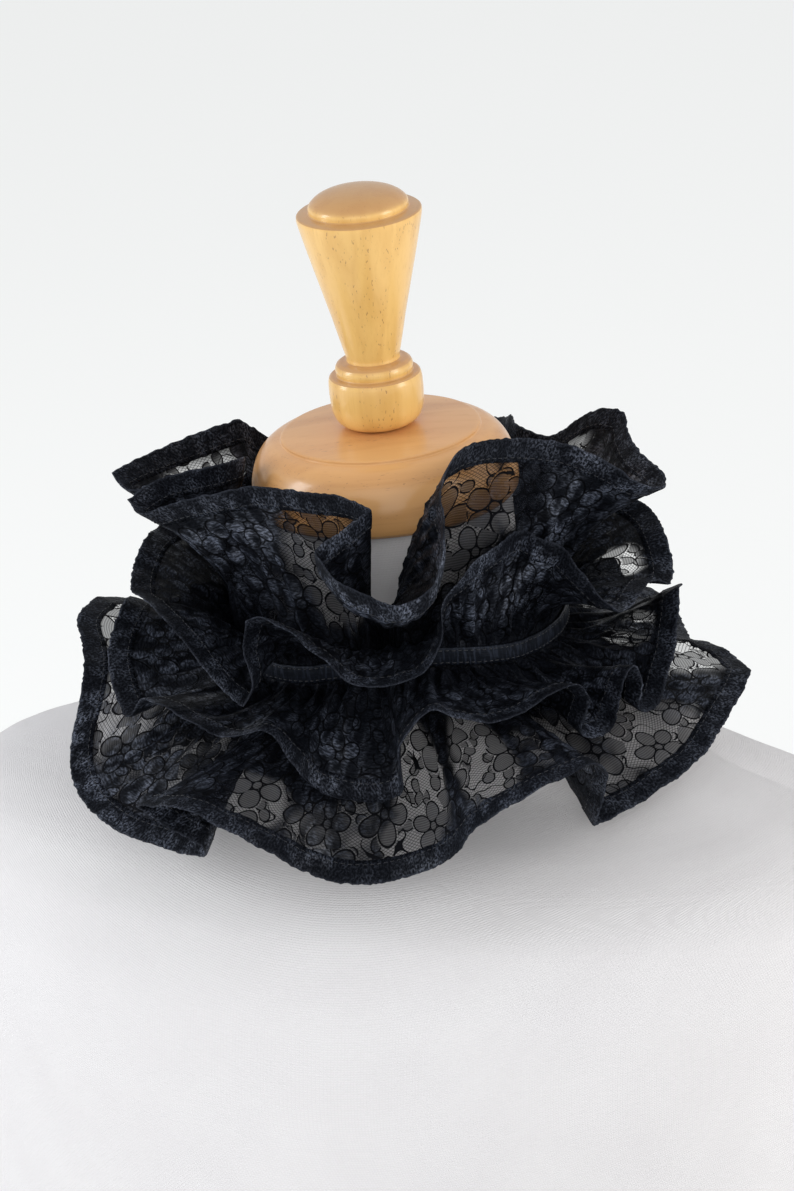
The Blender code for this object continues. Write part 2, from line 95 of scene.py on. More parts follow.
def set_camera():
    look = about_neck((0.0, math.cos(VIEW_DROP), -math.sin(VIEW_DROP)))
    right = about_neck((1.0, 0.0, 0.0))
    up = about_neck((0.0, math.sin(VIEW_DROP), math.cos(VIEW_DROP)))
    right, up = (math.cos(VIEW_ROLL) * right - math.sin(VIEW_ROLL) * up,
                 math.sin(VIEW_ROLL) * right + math.cos(VIEW_ROLL) * up)
    data = bpy.data.cameras.new("camera")
    camera = put("camera", data)
    data.sensor_width = SENSOR
    data.lens = SENSOR * VIEW_DISTANCE / (VIEW_PIXELS * PIXEL_SIZE)
    data.clip_start, data.clip_end = 0.05, 200.0
    turned_to = Matrix((right, up, -look)).transposed()
    camera.matrix_world = Matrix.Translation(AIM - VIEW_DISTANCE * look) @ turned_to.to_4x4()
    bpy.context.scene.camera = camera


set_camera()

# ---- the ruffle hems ----
# One row for each bend of a hem, from the back opening round to the back opening again: turn
# round the neck in degrees, reach from its axis and rise over the seam.
TURN, REACH, RISE = 0, 1, 2
WIDE_UPPER_HEM = [
    (-206, 112, 52), (-200, 106, 55), (-196, 86, 66), (-184, 74, 70), (-174, 92, 62),
    (-168, 115, 50), (-158, 112, 50), (-154, 90, 60), (-146, 76, 64), (-136, 71, 71),
    (-127, 76, 82), (-113, 97, 77), (-99, 118, 73), (-95, 110, 68), (-91, 88, 75),
    (-82, 67, 82), (-73, 61, 87), (-69, 71, 88), (-71, 84, 87), (-75, 101, 83),
    (-75, 113, 77), (-66, 112, 77), (-58, 102, 83),
    (-50, 90, 87), (-43, 80, 88), (-28, 78, 88), (-12, 85, 88), (-4, 95, 86),
    (-8, 99, 83), (-14, 110, 79), (-16, 114, 76), (-14, 120, 73), (-11, 127, 69),
    (-6, 133, 64), (0, 137, 59), (6, 133, 64), (9, 125, 71), (12, 106, 80),
    (15, 86, 87), (20, 74, 90), (29, 67, 95), (40, 68, 96), (51, 71, 93),
    (58, 80, 90), (60, 94, 87), (61, 108, 80), (62, 121, 71), (65, 128, 68),
    (70, 124, 70), (76, 112, 74), (84, 106, 77), (91, 104, 83), (96, 97, 83),
    (105, 89, 75), (116, 80, 64), (128, 76, 66), (139, 88, 64), (148, 104, 56),
]
NARROW_UPPER_HEM = [
    (-206, 104, 38), (-197, 96, 44), (-186, 86, 50), (-176, 94, 46), (-165, 112, 32),
    (-152, 102, 40), (-142, 89, 50), (-126, 91, 47), (-108, 104, 42), (-98, 107, 42),
    (-86, 112, 36), (-78, 114, 34), (-66, 113, 35), (-52, 117, 30), (-44, 121, 23),
    (-38, 124, 15), (-33, 125, 9), (-31, 123, 17), (-34, 117, 30), (-36, 108, 40),
    (-33, 106, 41), (-26, 109, 39), (-20, 114, 34), (-14, 119, 25), (-9, 121, 19),
    (-2, 122, 19), (4, 119, 22), (8, 113, 31), (10, 103, 42), (15, 95, 48), (22, 86, 52),
    (32, 80, 54), (41, 76, 55), (46, 77, 55), (46, 87, 53), (48, 96, 49),
    (47, 105, 42), (47, 115, 32), (49, 121, 24), (56, 120, 24), (64, 118, 26),
    (71, 122, 19), (77, 121, 22), (86, 116, 33), (95, 110, 38), (106, 92, 46),
    (120, 84, 50), (134, 98, 43), (146, 108, 34),
]
NARROW_LOWER_HEM = [
    (-206, 112, -24), (-196, 110, -25), (-184, 118, -14), (-171, 124, -6), (-160, 112, -22),
    (-148, 110, -22), (-137, 120, -8), (-124, 120, -6), (-111, 116, 4), (-101, 118, 14),
    (-94, 121, 11), (-88, 126, 0), (-83, 126, -12), (-77, 124, -21), (-70, 125, -14),
    (-62, 126, -2), (-53, 127, 1),
    (-44, 127, -3), (-36, 127, -5), (-29, 127, 0), (-26, 126, -5), (-24, 123, -15),
    (-21, 118, -28), (-15, 113, -35), (-8, 112, -37), (-3, 116, -32), (-3, 122, -19),
    (-2, 125, -8), (1, 127, 3), (5, 126, 8), (9, 127, 3), (15, 127, -2),
    (21, 127, -1), (28, 127, 4), (34, 127, 4), (37, 126, -5), (35, 123, -18),
    (39, 119, -26), (44, 120, -25), (45, 124, -14), (46, 127, -2), (49, 127, 1),
    (52, 125, -10), (51, 125, -20), (56, 126, -23), (62, 126, -12), (67, 126, 0),
    (75, 124, 14), (84, 122, 8), (93, 114, -8), (104, 108, -14), (116, 112, -13),
    (127, 121, -10), (137, 118, -16), (146, 113, -22),
]
WIDE_LOWER_HEM = [
    (-206, 133, -46), (-196, 135, -44), (-184, 148, -28), (-174, 146, -30), (-164, 134, -46),
    (-152, 136, -42), (-141, 147, -28), (-130, 142, -16), (-118, 144, -2), (-110, 142, 4),
    (-103, 143, 3), (-97, 139, -2), (-91, 137, -6), (-84, 141, -18), (-80, 147, -30),
    (-77, 150, -43), (-71, 149, -51), (-63, 144, -57),
    (-55, 136, -61), (-49, 132, -62), (-44, 131, -61), (-42, 137, -53), (-44, 145, -45),
    (-49, 154, -33), (-45, 157, -28), (-38, 158, -26), (-31, 154, -34), (-26, 148, -44),
    (-21, 137, -58),
    (-15, 130, -66), (-7, 131, -65), (0, 137, -59), (5, 145, -50), (9, 153, -35),
    (15, 157, -26), (22, 159, -19), (28, 159, -18), (31, 155, -26), (30, 147, -46),
    (31, 139, -54), (39, 143, -50), (46, 147, -45), (52, 152, -39), (57, 153, -33),
    (62, 153, -28), (67, 154, -24), (72, 154, -21), (78, 145, -21), (86, 133, -22),
    (95, 127, -28), (108, 132, -37), (120, 142, -38), (131, 149, -35), (142, 142, -42),
]

# Bends where the folded hem turns a crisp corner, by their rows above.
CRISP_BENDS = {
    (-127, 76, 82), (-99, 118, 73), (-75, 113, 77), (-4, 95, 86), (65, 128, 68), (91, 104, 83),
    (-33, 125, 9), (-36, 108, 40), (49, 121, 24), (71, 122, 19), (46, 77, 55),
    (-77, 124, -21), (37, 126, -5), (75, 124, 14), (45, 124, -14),
    (-44, 131, -61), (-49, 154, -33), (31, 155, -26), (31, 139, -54), (72, 154, -21),
    (-196, 86, 66), (-146, 76, 64), (120, 84, 50),
}
CORNER_PULL = 0.75             # 0 leaves a crisp bend round, 1 makes its sides straight

# Where gathers are drawn along the seam: the turn that an even gather has, and its own.
WIDE_UPPER_PINS = [
    (-50, -50), (-28, -17.5), (-17, -9.5), (-12, -8.5), (20, -3.5), (28, -0.5), (38, 13),
    (56, 49), (66, 66),
]
WIDE_LOWER_PINS = [(-76, -76), (-56, -59.5), (-46, -46), (-36, -32.5), (-16, -16)]
PIN_EASING = 3.0               # degrees over which the steps between pins are eased

# Where the cloth bends close to the hem: the turn of an even gather, how far to each side
# the bend shows, and the bend's place from the hem, outwards and up.
WIDE_UPPER_ROLLS = [(4.0, 19.0, 3.0, -24.0)]
NARROW_LOWER_ROLLS = [(-14.0, 9.5, 8.0, 13.0)]

# The ribbon rides up at the front of the neck.
FRONT_LIFT = 10.0
LIFT_TURN = 2.0
LIFT_SPREAD = 22.0

# ---- creases and lacework, listed in millimetres ----
# Creases: along the hem from the strip's first end; lean, how far the crease has moved along
# by the time it reaches the seam; width; depth, minus for a trough; and the shares of the
# cloth's width, from the seam, between which it shows, where they aren't the usual ones.
USUAL_SHARES = (0.0, 0.85)
WIDE_UPPER_CREASES = [
    (30, 4, 9, 2.6, 0.05, 0.90), (62, -3, 7, -2.2, 0.05, 0.80), (98, 2, 8, 2.4),
    (128, 3, 6, -2.0, 0.05, 0.75), (182, -5, 8, 2.6, 0.0, 0.90), (214, 2, 7, -2.4, 0.1, 0.85),
    (246, 4, 8, 2.2, 0.0, 0.80), (268, 0, 6, -2.0, 0.05, 0.9), (305, 3, 7, 2.0, 0.05, 0.8),
    (340, -2, 7, -1.8, 0.0, 0.75), (418, 3, 6, 2.4, 0.05, 0.92), (433, 4, 5, -2.2),
    (452, 4, 6, 2.2, 0.0, 0.90), (474, 3, 5, -2.6, 0.0, 0.95), (494, 0, 7, 2.0, 0.05, 0.7),
    (512, -3, 5, -1.8, 0.05, 0.8), (600, 0, 7, 1.6, 0.3, 0.85), (628, 0, 7, -1.6, 0.2, 0.8),
    (662, 3, 5, -1.6, 0.1, 0.7), (722, 2, 6, 1.8, 0.0, 0.8), (746, 0, 5, -2.6, 0.0, 0.95),
    (760, 0, 4, 1.8, 0.1, 0.9), (775, 2, 5, -2.0, 0.05, 0.9), (800, 0, 6, 2.2),
    (838, 2, 7, -2.2, 0.05, 0.9), (866, 0, 7, 2.2, 0.0, 0.8), (905, 3, 7, -2.2, 0.05, 0.85),
    (940, -3, 8, 2.4, 0.0, 0.9), (974, 2, 7, -2.0, 0.05, 0.8),
]
NARROW_UPPER_CREASES = [
    (26, 3, 7, 1.8, 0.0, 0.9), (58, -2, 6, -1.8, 0.05, 0.85), (92, 2, 7, 2.0),
    (124, 3, 6, -1.6, 0.0, 0.8), (168, -3, 7, 1.8, 0.05, 0.9), (198, 2, 6, -1.8),
    (232, 3, 7, 1.8), (262, 0, 6, -1.8, 0.05, 0.9), (296, 3, 6, 1.8, 0.0, 0.8),
    (326, 4, 6, -2.0, 0.0, 0.9), (382, -4, 6, 1.6, 0.1, 0.9), (424, -3, 7, -1.6, 0.0, 0.75),
    (458, 0, 7, 1.4, 0.0, 0.7), (500, 3, 6, -1.6, 0.0, 0.8), (528, 2, 5, 2.2, 0.05, 0.95),
    (544, 0, 5, -1.8, 0.05, 0.9), (562, 2, 6, 2.2, 0.05, 0.95), (582, 0, 5, -2.2, 0.0, 0.9),
    (604, -2, 6, 1.8), (648, 0, 6, -1.6, 0.05, 0.85), (690, 2, 7, 1.8), (722, -2, 6, -1.8),
    (756, 2, 7, 1.8, 0.05, 0.9), (790, 0, 6, -1.6, 0.0, 0.8), (822, 2, 7, 1.8),
]
NARROW_LOWER_CREASES = [
    (24, 2, 7, 1.8), (56, -2, 6, -1.6), (90, 2, 7, 1.8, 0.05, 0.9), (128, 2, 6, -1.8),
    (170, -3, 7, 1.8), (206, 2, 6, -1.8, 0.05, 0.9), (246, 3, 7, 1.8), (284, 2, 6, -1.8),
    (345, 2, 6, 1.8), (380, 3, 6, -2.0, 0.0, 0.9), (412, -3, 5, 2.2, 0.05, 0.95),
    (432, 0, 5, -2.0, 0.0, 0.9), (462, 2, 6, 2.0, 0.0, 0.9), (486, 0, 5, -2.0, 0.0, 0.9),
    (510, 0, 5, 1.6), (548, 2, 6, -1.8, 0.0, 0.8), (582, 0, 6, 1.8), (606, -2, 5, -1.8),
    (660, 0, 5, 1.6), (700, 0, 5, -1.6), (752, 2, 6, 1.8), (800, 0, 6, -1.8),
    (842, 2, 7, 1.8), (880, -2, 6, -1.8), (922, 2, 7, 1.8),
]
WIDE_LOWER_CREASES = [
    (28, 3, 8, 2.2), (64, -3, 7, -2.0, 0.05, 0.8), (100, 2, 8, 2.2), (142, 3, 7, -2.0),
    (186, -3, 8, 2.2, 0.05, 0.85), (226, 2, 7, -2.0), (262, 3, 8, 2.0),
    (300, 2, 7, -2.0, 0.0, 0.9), (338, 0, 7, 2.2, 0.05, 0.9), (372, 2, 7, -2.2),
    (410, 3, 7, 2.2), (436, 2, 6, -1.8, 0.1, 0.85), (540, 3, 7, 1.8, 0.1, 0.9),
    (566, 3, 6, -2.2, 0.0, 0.9), (590, 2, 6, 2.2, 0.0, 0.9), (616, 0, 6, -2.4, 0.05, 0.95),
    (640, -2, 6, 2.0, 0.05, 0.95), (662, -2, 5, -2.0, 0.1, 0.9), (690, -2, 7, 2.2, 0.0, 0.9),
    (716, -3, 6, -2.0, 0.05, 0.85), (762, 0, 6, 1.8, 0.1, 0.9), (806, 2, 7, -2.0, 0.0, 0.9),
    (836, 2, 7, 2.0, 0.0, 0.9), (868, 0, 6, -2.0, 0.05, 0.85), (910, -2, 7, 2.0),
    (950, 2, 7, -2.0), (1000, -2, 8, 2.2), (1044, 2, 7, -2.0), (1080, 2, 7, 2.0, 0.05, 0.85),
]

# Places where the lace's flowers stand apart and its net shows; elsewhere the lace is worked
# closely. Amount is 1 for open net.
WIDE_UPPER_NET = [
    # along, in from the hem, half length, half width, amount
    (62, 34, 16, 20, 0.8), (150, 36, 18, 18, 0.7), (238, 23, 24, 12, 0.45), (338, 34, 14, 16, 0.3),
    (440, 52, 30, 18, 0.25), (505, 38, 24, 28, 0.9), (722, 33, 19, 24, 1.0),
    (752, 24, 12, 13, 0.85), (905, 20, 20, 9, 0.65), (968, 36, 15, 18, 0.6),
]
NARROW_UPPER_NET = [
    (60, 26, 14, 12, 0.8), (140, 28, 14, 12, 0.6), (268, 24, 12, 9, 0.35), (600, 26, 11, 9, 0.45),
    (706, 26, 13, 11, 0.9), (770, 26, 14, 12, 0.8), (822, 26, 10, 12, 0.6),
]
NARROW_LOWER_NET = [
    (40, 26, 14, 12, 0.7), (150, 26, 12, 12, 0.6), (225, 26, 10, 10, 0.4), (532, 28, 9, 10, 0.3),
    (770, 24, 12, 10, 0.9), (850, 28, 14, 12, 0.7), (915, 26, 12, 12, 0.6),
]
WIDE_LOWER_NET = [
    (70, 34, 18, 20, 0.8), (165, 36, 18, 20, 0.7), (281, 25, 27, 17, 1.0), (340, 26, 26, 20, 0.45),
    (420, 34, 34, 26, 0.28), (550, 22, 18, 12, 0.75), (585, 18, 13, 11, 0.5),
    (612, 22, 18, 14, 0.36), (640, 17, 14, 10, 1.0), (650, 38, 16, 28, 1.0),
    (697, 38, 15, 28, 0.95), (735, 28, 18, 18, 0.35), (800, 34, 22, 26, 0.55),
    (842, 30, 22, 22, 0.95), (925, 28, 28, 20, 0.95), (1020, 36, 18, 20, 0.7),
    (1075, 34, 12, 18, 0.7),
]

# Places where the lace's satin flowers lie thick and catch the light, laid out the same way: there
# the coat is glossier and highlights are painted into the threads' colour.
WIDE_UPPER_GLOSS_AND_HIGHLIGHT = [
    (90, 30, 26, 20, 0.8), (205, 28, 24, 18, 0.8), (300, 30, 24, 20, 0.7), (442, 31, 30, 20, 1.0),
    (478, 30, 12, 26, 0.6), (570, 12, 26, 12, 0.8), (610, 8, 26, 10, 0.9), (650, 8, 22, 10, 0.8),
    (776, 26, 10, 26, 1.0), (815, 12, 26, 14, 0.7), (860, 26, 22, 16, 0.5), (940, 30, 20, 18, 0.7),
]
NARROW_UPPER_GLOSS_AND_HIGHLIGHT = [
    (100, 24, 20, 14, 0.8), (214, 26, 20, 20, 0.9), (310, 26, 22, 16, 0.5), (430, 10, 30, 12, 0.5),
    (545, 20, 16, 18, 0.8), (588, 22, 18, 18, 0.9), (640, 20, 18, 16, 0.6), (740, 20, 18, 14, 0.6),
]
NARROW_LOWER_GLOSS_AND_HIGHLIGHT = [
    (90, 24, 20, 14, 0.8), (190, 22, 20, 16, 0.7), (262, 24, 20, 20, 0.9), (330, 20, 26, 12, 0.6),
    (400, 16, 20, 12, 0.7), (460, 20, 11, 16, 0.35), (560, 16, 22, 14, 0.6), (660, 18, 20, 16, 0.6),
    (820, 22, 20, 14, 0.7),
]
WIDE_LOWER_GLOSS_AND_HIGHLIGHT = [
    (110, 30, 24, 20, 0.8), (225, 30, 24, 20, 0.7), (372, 20, 34, 26, 0.9), (455, 16, 30, 18, 0.8),
    (505, 14, 22, 16, 0.6), (745, 24, 20, 18, 0.8), (880, 24, 20, 18, 0.6), (980, 28, 26, 20, 0.8),
]

Ruffle = namedtuple(
    "Ruffle", "name hem creases net gloss radius sewn upward outward spring cut seed pins "
    "firmer rolls", defaults=[(), (), ()])

# radius and sewn: of the seam under the ribbon; upward and outward: how the cloth leaves it;
# spring: how stiffly; cut: the strip's width; firmer: turn, how much more stiffly, spread.
RUFFLES = [
    Ruffle("wide_upper", WIDE_UPPER_HEM, WIDE_UPPER_CREASES, WIDE_UPPER_NET, WIDE_UPPER_GLOSS_AND_HIGHLIGHT,
           WIDE_SEAM_RADIUS, sewn=4.8, upward=1, outward=0.0, spring=0.40, cut=88.0, seed=3,
           pins=WIDE_UPPER_PINS, firmer=[(18.0, 0.35, 12.0)], rolls=WIDE_UPPER_ROLLS),
    Ruffle("narrow_upper", NARROW_UPPER_HEM, NARROW_UPPER_CREASES, NARROW_UPPER_NET,
           NARROW_UPPER_GLOSS_AND_HIGHLIGHT, NARROW_SEAM_RADIUS, sewn=4.8, upward=1, outward=0.3,
           spring=0.35, cut=60.0, seed=5, firmer=[(-5.0, -0.24, 13.0)]),
    Ruffle("narrow_lower", NARROW_LOWER_HEM, NARROW_LOWER_CREASES, NARROW_LOWER_NET,
           NARROW_LOWER_GLOSS_AND_HIGHLIGHT, NARROW_SEAM_RADIUS, sewn=4.8, upward=-1, outward=2.0,
           spring=0.20, cut=60.0, seed=7, rolls=NARROW_LOWER_ROLLS),
    Ruffle("wide_lower", WIDE_LOWER_HEM, WIDE_LOWER_CREASES, WIDE_LOWER_NET,
           WIDE_LOWER_GLOSS_AND_HIGHLIGHT, WIDE_SEAM_RADIUS, sewn=7.5, upward=-1, outward=0.25,
           spring=0.11, cut=92.0, seed=11, pins=WIDE_LOWER_PINS),
]

# The dress form's levels, from the neck down; square: 2 is an ellipse, more is squarer.
DROP, HALF_WIDTH, HALF_DEPTH, SQUARE = 0, 1, 2, 3
FORM_LEVELS = [
    # drop below the collar seam, half width, half depth, squareness
    (-58.0, NECK_RADIUS, NECK_RADIUS, 2.0),
    (-30.0, 53.5, 53.5, 2.0),
    (-8.0, 55.5, 55.5, 2.0),
    (5.0, 60.0, 60.0, 2.0),
    (12.0, 70.0, 64.0, 2.0),
    (17.6, 82.0, 65.0, 2.0),
    (25.0, 100.0, 66.0, 2.0),
    (38.0, 126.0, 67.0, 2.0),
    (52.0, 151.0, 70.0, 2.0),
    (62.0, 180.0, 76.0, 2.0),
    (72.0, 206.0, 85.0, 2.05),
    (86.0, 223.0, 98.0, 2.15),
    (104.0, 231.0, 113.0, 2.2),
    (133.0, 234.0, 127.0, 2.3),
    (175.0, 234.0, 136.0, 2.3),
    (230.0, 230.0, 137.0, 2.3),
    (SEAM_HEIGHT - 8.0, 225.0, 133.0, 2.3),
    (SEAM_HEIGHT - 2.0, 222.0, 130.5, 2.3),
    (SEAM_HEIGHT, 217.0, 125.0, 2.3),
]
FORM_CLEARANCE = 0.9           # the cloth stands at least this far over the form
FORM_NEAR = 76.0               # inside this reach the cloth is held off the neck by the ribbon

# How finely the cloth is drawn: stations along each hem, columns across the cloth above the
# hem, and the columns of the hem itself with half the folded hem's thickness at each.
STATIONS = 900
PLAIN_COLUMNS = 27
HEM_STEPS = (0.0, 0.7, 2.0, 4.0, 6.2, 8.4, HEM_DEPTH)
HEM_SWELL = (0.22, 0.40, 0.48, 0.46, 0.44, 0.40, 0.30)


# ---- curves and surfaces ----
def unit(vectors):
    return vectors / np.linalg.norm(vectors, axis=-1, keepdims=True)


def polar(turn, reach, height):
    """Places at a turn round the neck (0 at the collar's front), a reach and a height."""
    angle = np.radians(turn)
    return np.stack([reach * np.sin(angle), -reach * np.cos(angle), height + 0.0 * angle], -1)


def bent(s, start, end, leave, arrive):
    """The place at share s of a cubic curve, from how it leaves its start and arrives."""
    return ((2 * s**3 - 3 * s**2 + 1) * start + (s**3 - 2 * s**2 + s) * leave
            + (3 * s**2 - 2 * s**3) * end + (s**3 - s**2) * arrive)


def smooth_loop(points, crisp, steps=24):
    """A closed curve through the points, evened by the distance between them. A crisp point
    is turned as a corner.
    """
    curve = []
    count = len(points)
    for i in range(count):
        before, start, end, after = (points[(i + k) % count] for k in (-1, 0, 1, 2))
        first, middle, last = (np.sqrt(np.linalg.norm(b - a)) for a, b in
                               ((before, start), (start, end), (end, after)))
        chord = end - start
        leave = chord + middle * ((start - before) / first - (end - before) / (first + middle))
        arrive = chord + middle * ((after - end) / last - (after - start) / (middle + last))
        leave = leave + CORNER_PULL * crisp[i] * (chord - leave)
        arrive = arrive + CORNER_PULL * crisp[(i + 1) % count] * (chord - arrive)
        curve += [bent(s, start, end, leave, arrive) for s in np.arange(steps) / steps]
    return np.array(curve)


def walk(curve, stations, end_gap):
    """Evenly spaced places along a closed curve, stopping short of both ends."""
    closed = np.vstack([curve, curve[:1]])
    along = np.concatenate([[0.0], np.cumsum(np.linalg.norm(np.diff(closed, axis=0), axis=1))])
    share = np.linspace(0.5 * end_gap / along[-1], 1.0 - 0.5 * end_gap / along[-1], stations + 1)
    places = np.stack([np.interp(share * along[-1], along, closed[:, k]) for k in range(3)], 1)
    return places, share, share * along[-1]


def seam_turns(hem, share):
    """The turn at which each station is gathered to the seam: even, but following the folds."""
    turns = np.degrees(np.unwrap(np.arctan2(hem[:, 0], -hem[:, 1])))
    lead = turns - 360.0 * share
    distance = 360.0 * np.abs(share[:, None] - share[None, :])
    distance = np.minimum(distance, 360.0 - distance)
    weight = np.exp(-0.5 * (distance / SEAM_EVENING) ** 2)
    even = 360.0 * share + weight @ lead / weight.sum(axis=1)
    return even + OPENING_TURN - 360.0 - 0.5 * (even[0] + even[-1] - 360.0)


def drawn_along(even, pins):
    """The gathers drawn along the seam to the pins, with the steps between them eased."""
    if not pins:
        return even
    start, end = np.array(pins, float).T
    shifted = [even + step for step in np.linspace(-PIN_EASING, PIN_EASING, 7)]
    return np.mean([np.where((t > start[0]) & (t < start[-1]), np.interp(t, start, end), t)
                    for t in shifted], axis=0)


def seam_rise(turns):
    """How much higher the ribbon rides at a turn: it lifts at the front of the neck."""
    return FRONT_LIFT * np.exp(-0.5 * ((turns - LIFT_TURN) / LIFT_SPREAD) ** 2)


def grid_normals(grid):
    """Unit normals over a grid of places."""
    normal = np.cross(np.gradient(grid, axis=0), np.gradient(grid, axis=1))
    return normal / np.maximum(np.linalg.norm(normal, axis=2), 1e-9)[..., None]


def eased(levels, step):
    """Rows between the named levels, eased so that no level shows as a ridge."""
    table = np.array(levels, float)
    slopes = np.zeros_like(table)
    for k in range(1, len(table) - 1):
        before = (table[k] - table[k - 1]) / (table[k, DROP] - table[k - 1, DROP])
        after = (table[k + 1] - table[k]) / (table[k + 1, DROP] - table[k, DROP])
        agree = before * after > 0
        slopes[k] = np.where(agree, 2 * before * after / np.where(agree, before + after, 1), 0)
    rows = []
    for k in range(len(table) - 1):
        width = table[k + 1, DROP] - table[k, DROP]
        parts = max(1, int(width / step))
        for s in np.arange(parts) / parts:
            rows.append(bent(s, table[k], table[k + 1], width * slopes[k],
                             width * slopes[k + 1]))
            rows[-1][DROP] = table[k, DROP] + s * width
    rows.append(table[-1])
    return np.array(rows)


FORM_ROWS = eased(FORM_LEVELS, step=3.0)


def ripple(chance, along, longest, shortest, waves=14):
    """A seeded uneven wave along a strip, about 1 high."""
    total = np.zeros_like(along)
    for _ in range(waves):
        length = math.exp(chance.uniform(math.log(shortest), math.log(longest)))
        total += np.sin(2 * math.pi * along / length + chance.uniform(0, 2 * math.pi))
    return total / math.sqrt(waves)


def soft_step(value, low, high):
    t = np.clip((value - low) / (high - low), 0.0, 1.0)
    return t * t * (3 - 2 * t)


def plain_ruffle(ruffle):
    """A ruffle's cloth before its creases, on a grid from the hem to the ribbon's edge: places,
    millimetres along and in from the hem, share of the width from the seam, and the turns at
    which its stations are gathered.
    """
    rows = np.array(ruffle.hem, float)
    crisp = [tuple(bend) in CRISP_BENDS for bend in rows]
    curve = smooth_loop(polar(rows[:, TURN], rows[:, REACH], rows[:, RISE]), crisp)
    hem, share, along = walk(curve, STATIONS, OPENING_GAP)
    even = seam_turns(hem, share)
    turns = drawn_along(even, ruffle.pins)
    edge = polar(turns, ruffle.radius, ruffle.sewn * ruffle.upward + seam_rise(turns))
    leave = unit(ruffle.outward * polar(turns, 1.0, 0.0) + np.array([0.0, 0.0, ruffle.upward]))
    span = np.linalg.norm(hem - edge, axis=1)[:, None]
    strength = ruffle.spring + 0.0 * span
    for turn, more, spread in ruffle.firmer:
        strength += more * np.exp(-0.5 * ((even[:, None] - turn) / spread) ** 2)
    pull = edge + strength * span * leave
    near_hem = (hem + 2.0 * pull) / 3.0
    for turn, half, out, up in ruffle.rolls:
        rolled = 1.0 / (1.0 + ((even[:, None] - turn) / half) ** 8)
        reach = np.hypot(hem[:, :1], hem[:, 1:2])
        bend = hem + hem * [1.0, 1.0, 0.0] * out / reach + np.array([0.0, 0.0, up])
        near_hem = near_hem + rolled * (bend - near_hem)
    t = np.linspace(0.0, 1.0, 60)[None, :, None]
    fine = ((1 - t) ** 3 * edge[:, None] + t * (1 - t) ** 2 * (edge + 2.0 * pull)[:, None]
            + 3 * t ** 2 * (1 - t) * near_hem[:, None] + t ** 3 * hem[:, None])
    fine = fine[:, ::-1]                                   # from the hem to the seam
    inward = np.concatenate([np.zeros((len(fine), 1)), np.cumsum(
        np.linalg.norm(np.diff(fine, axis=1), axis=2), axis=1)], axis=1)
    whole = inward[:, -1:]
    rest = np.linspace(0.0, 1.0, PLAIN_COLUMNS + 1)[1:]
    depth = np.concatenate([np.broadcast_to(HEM_STEPS, (len(fine), len(HEM_STEPS))),
                            HEM_DEPTH + rest[None] * (whole - HEM_DEPTH)], axis=1)
    grid = np.stack([[np.interp(depth[i], inward[i], fine[i, :, k]) for i in range(len(fine))]
                     for k in range(3)], -1)
    return grid, np.broadcast_to(along[:, None], depth.shape), depth, 1.0 - depth / whole, turns


GATHER_PITCH = 9.0             # from one gather to the next along the hem
HEM_WAVE, DIMPLE, PUCKER, FRAY = 0.55, 0.55, 0.10, 0.26      # their heights


def relief(ruffle, chance, along, depth, from_seam):
    """How far the cloth stands out, in millimetres: its listed creases, the gathers at the
    ribbon, a waved hem, small dimples, and puckers along the hem's stitches.
    """
    total = np.zeros_like(depth)
    for place, lean, width, high, *shares in ruffle.creases:
        start, stop = shares or USUAL_SHARES
        across = (along - place + lean * (1 - from_seam)) / (width * (0.45 + 0.55 * from_seam))
        shown = soft_step(from_seam, start - 0.02, start + 0.12) * \
            (1 - soft_step(from_seam, stop - 0.35, stop))
        total += high * np.exp(-across ** 2) * shown
    length = along[-1, 0]
    gathers = int(length / GATHER_PITCH)
    for k in range(gathers):
        place = (k + 0.5 + chance.uniform(-0.35, 0.35)) * length / gathers
        width = chance.uniform(2.6, 4.4)
        high = chance.uniform(0.9, 2.2) * (1 if k % 2 else -1)
        reach = chance.uniform(0.22, 0.50)
        lean = chance.uniform(-5.0, 5.0)
        across = (along - place - lean * from_seam) / (width * (1 + 0.8 * from_seam))
        total += high * np.exp(-across ** 2) * soft_step(from_seam, -0.02, 0.07) * \
            (1 - soft_step(from_seam, 0.35 * reach, reach))
    total += HEM_WAVE * ripple(chance, along[:, :1], 60.0, 16.0) * np.exp(-depth / 12.0)
    dimples = ripple(chance, along + 0.6 * depth, 26.0, 8.0) * \
        ripple(chance, along * 0.4 - depth, 40.0, 14.0)
    total += DIMPLE * dimples * soft_step(from_seam, 0.0, 0.2) * soft_step(depth, 3.0, 14.0)
    beside_stitches = np.exp(-((depth - HEM_DEPTH) / 2.5) ** 2)
    return total + PUCKER * ripple(chance, along[:, :1], 6.0, 2.6) * beside_stitches


def creased_ruffle(ruffle):
    """A ruffle's cloth with its creases and a slightly uneven hem, and its run under the
    ribbon: places, and millimetres along and in from the hem.
    """
    grid, along, depth, from_seam, turns = plain_ruffle(ruffle)
    chance = np.random.default_rng(ruffle.seed)
    stands_out = relief(ruffle, chance, along, depth, from_seam)
    grid = grid + stands_out[..., None] * grid_normals(grid)
    frayed = FRAY * ripple(chance, along[:, :1], 12.0, 2.4) * np.exp(-depth / 2.5)
    grid = grid + frayed[..., None] * unit(grid[:, :1] - grid[:, 4:5])
    sewn_run = np.stack([
        polar(turns, ruffle.radius, ruffle.sewn * ruffle.upward * part + seam_rise(turns))
        for part in (0.6, 0.03)], 1)
    return grid, sewn_run, along, depth


NOTHING_BELOW = -1e9


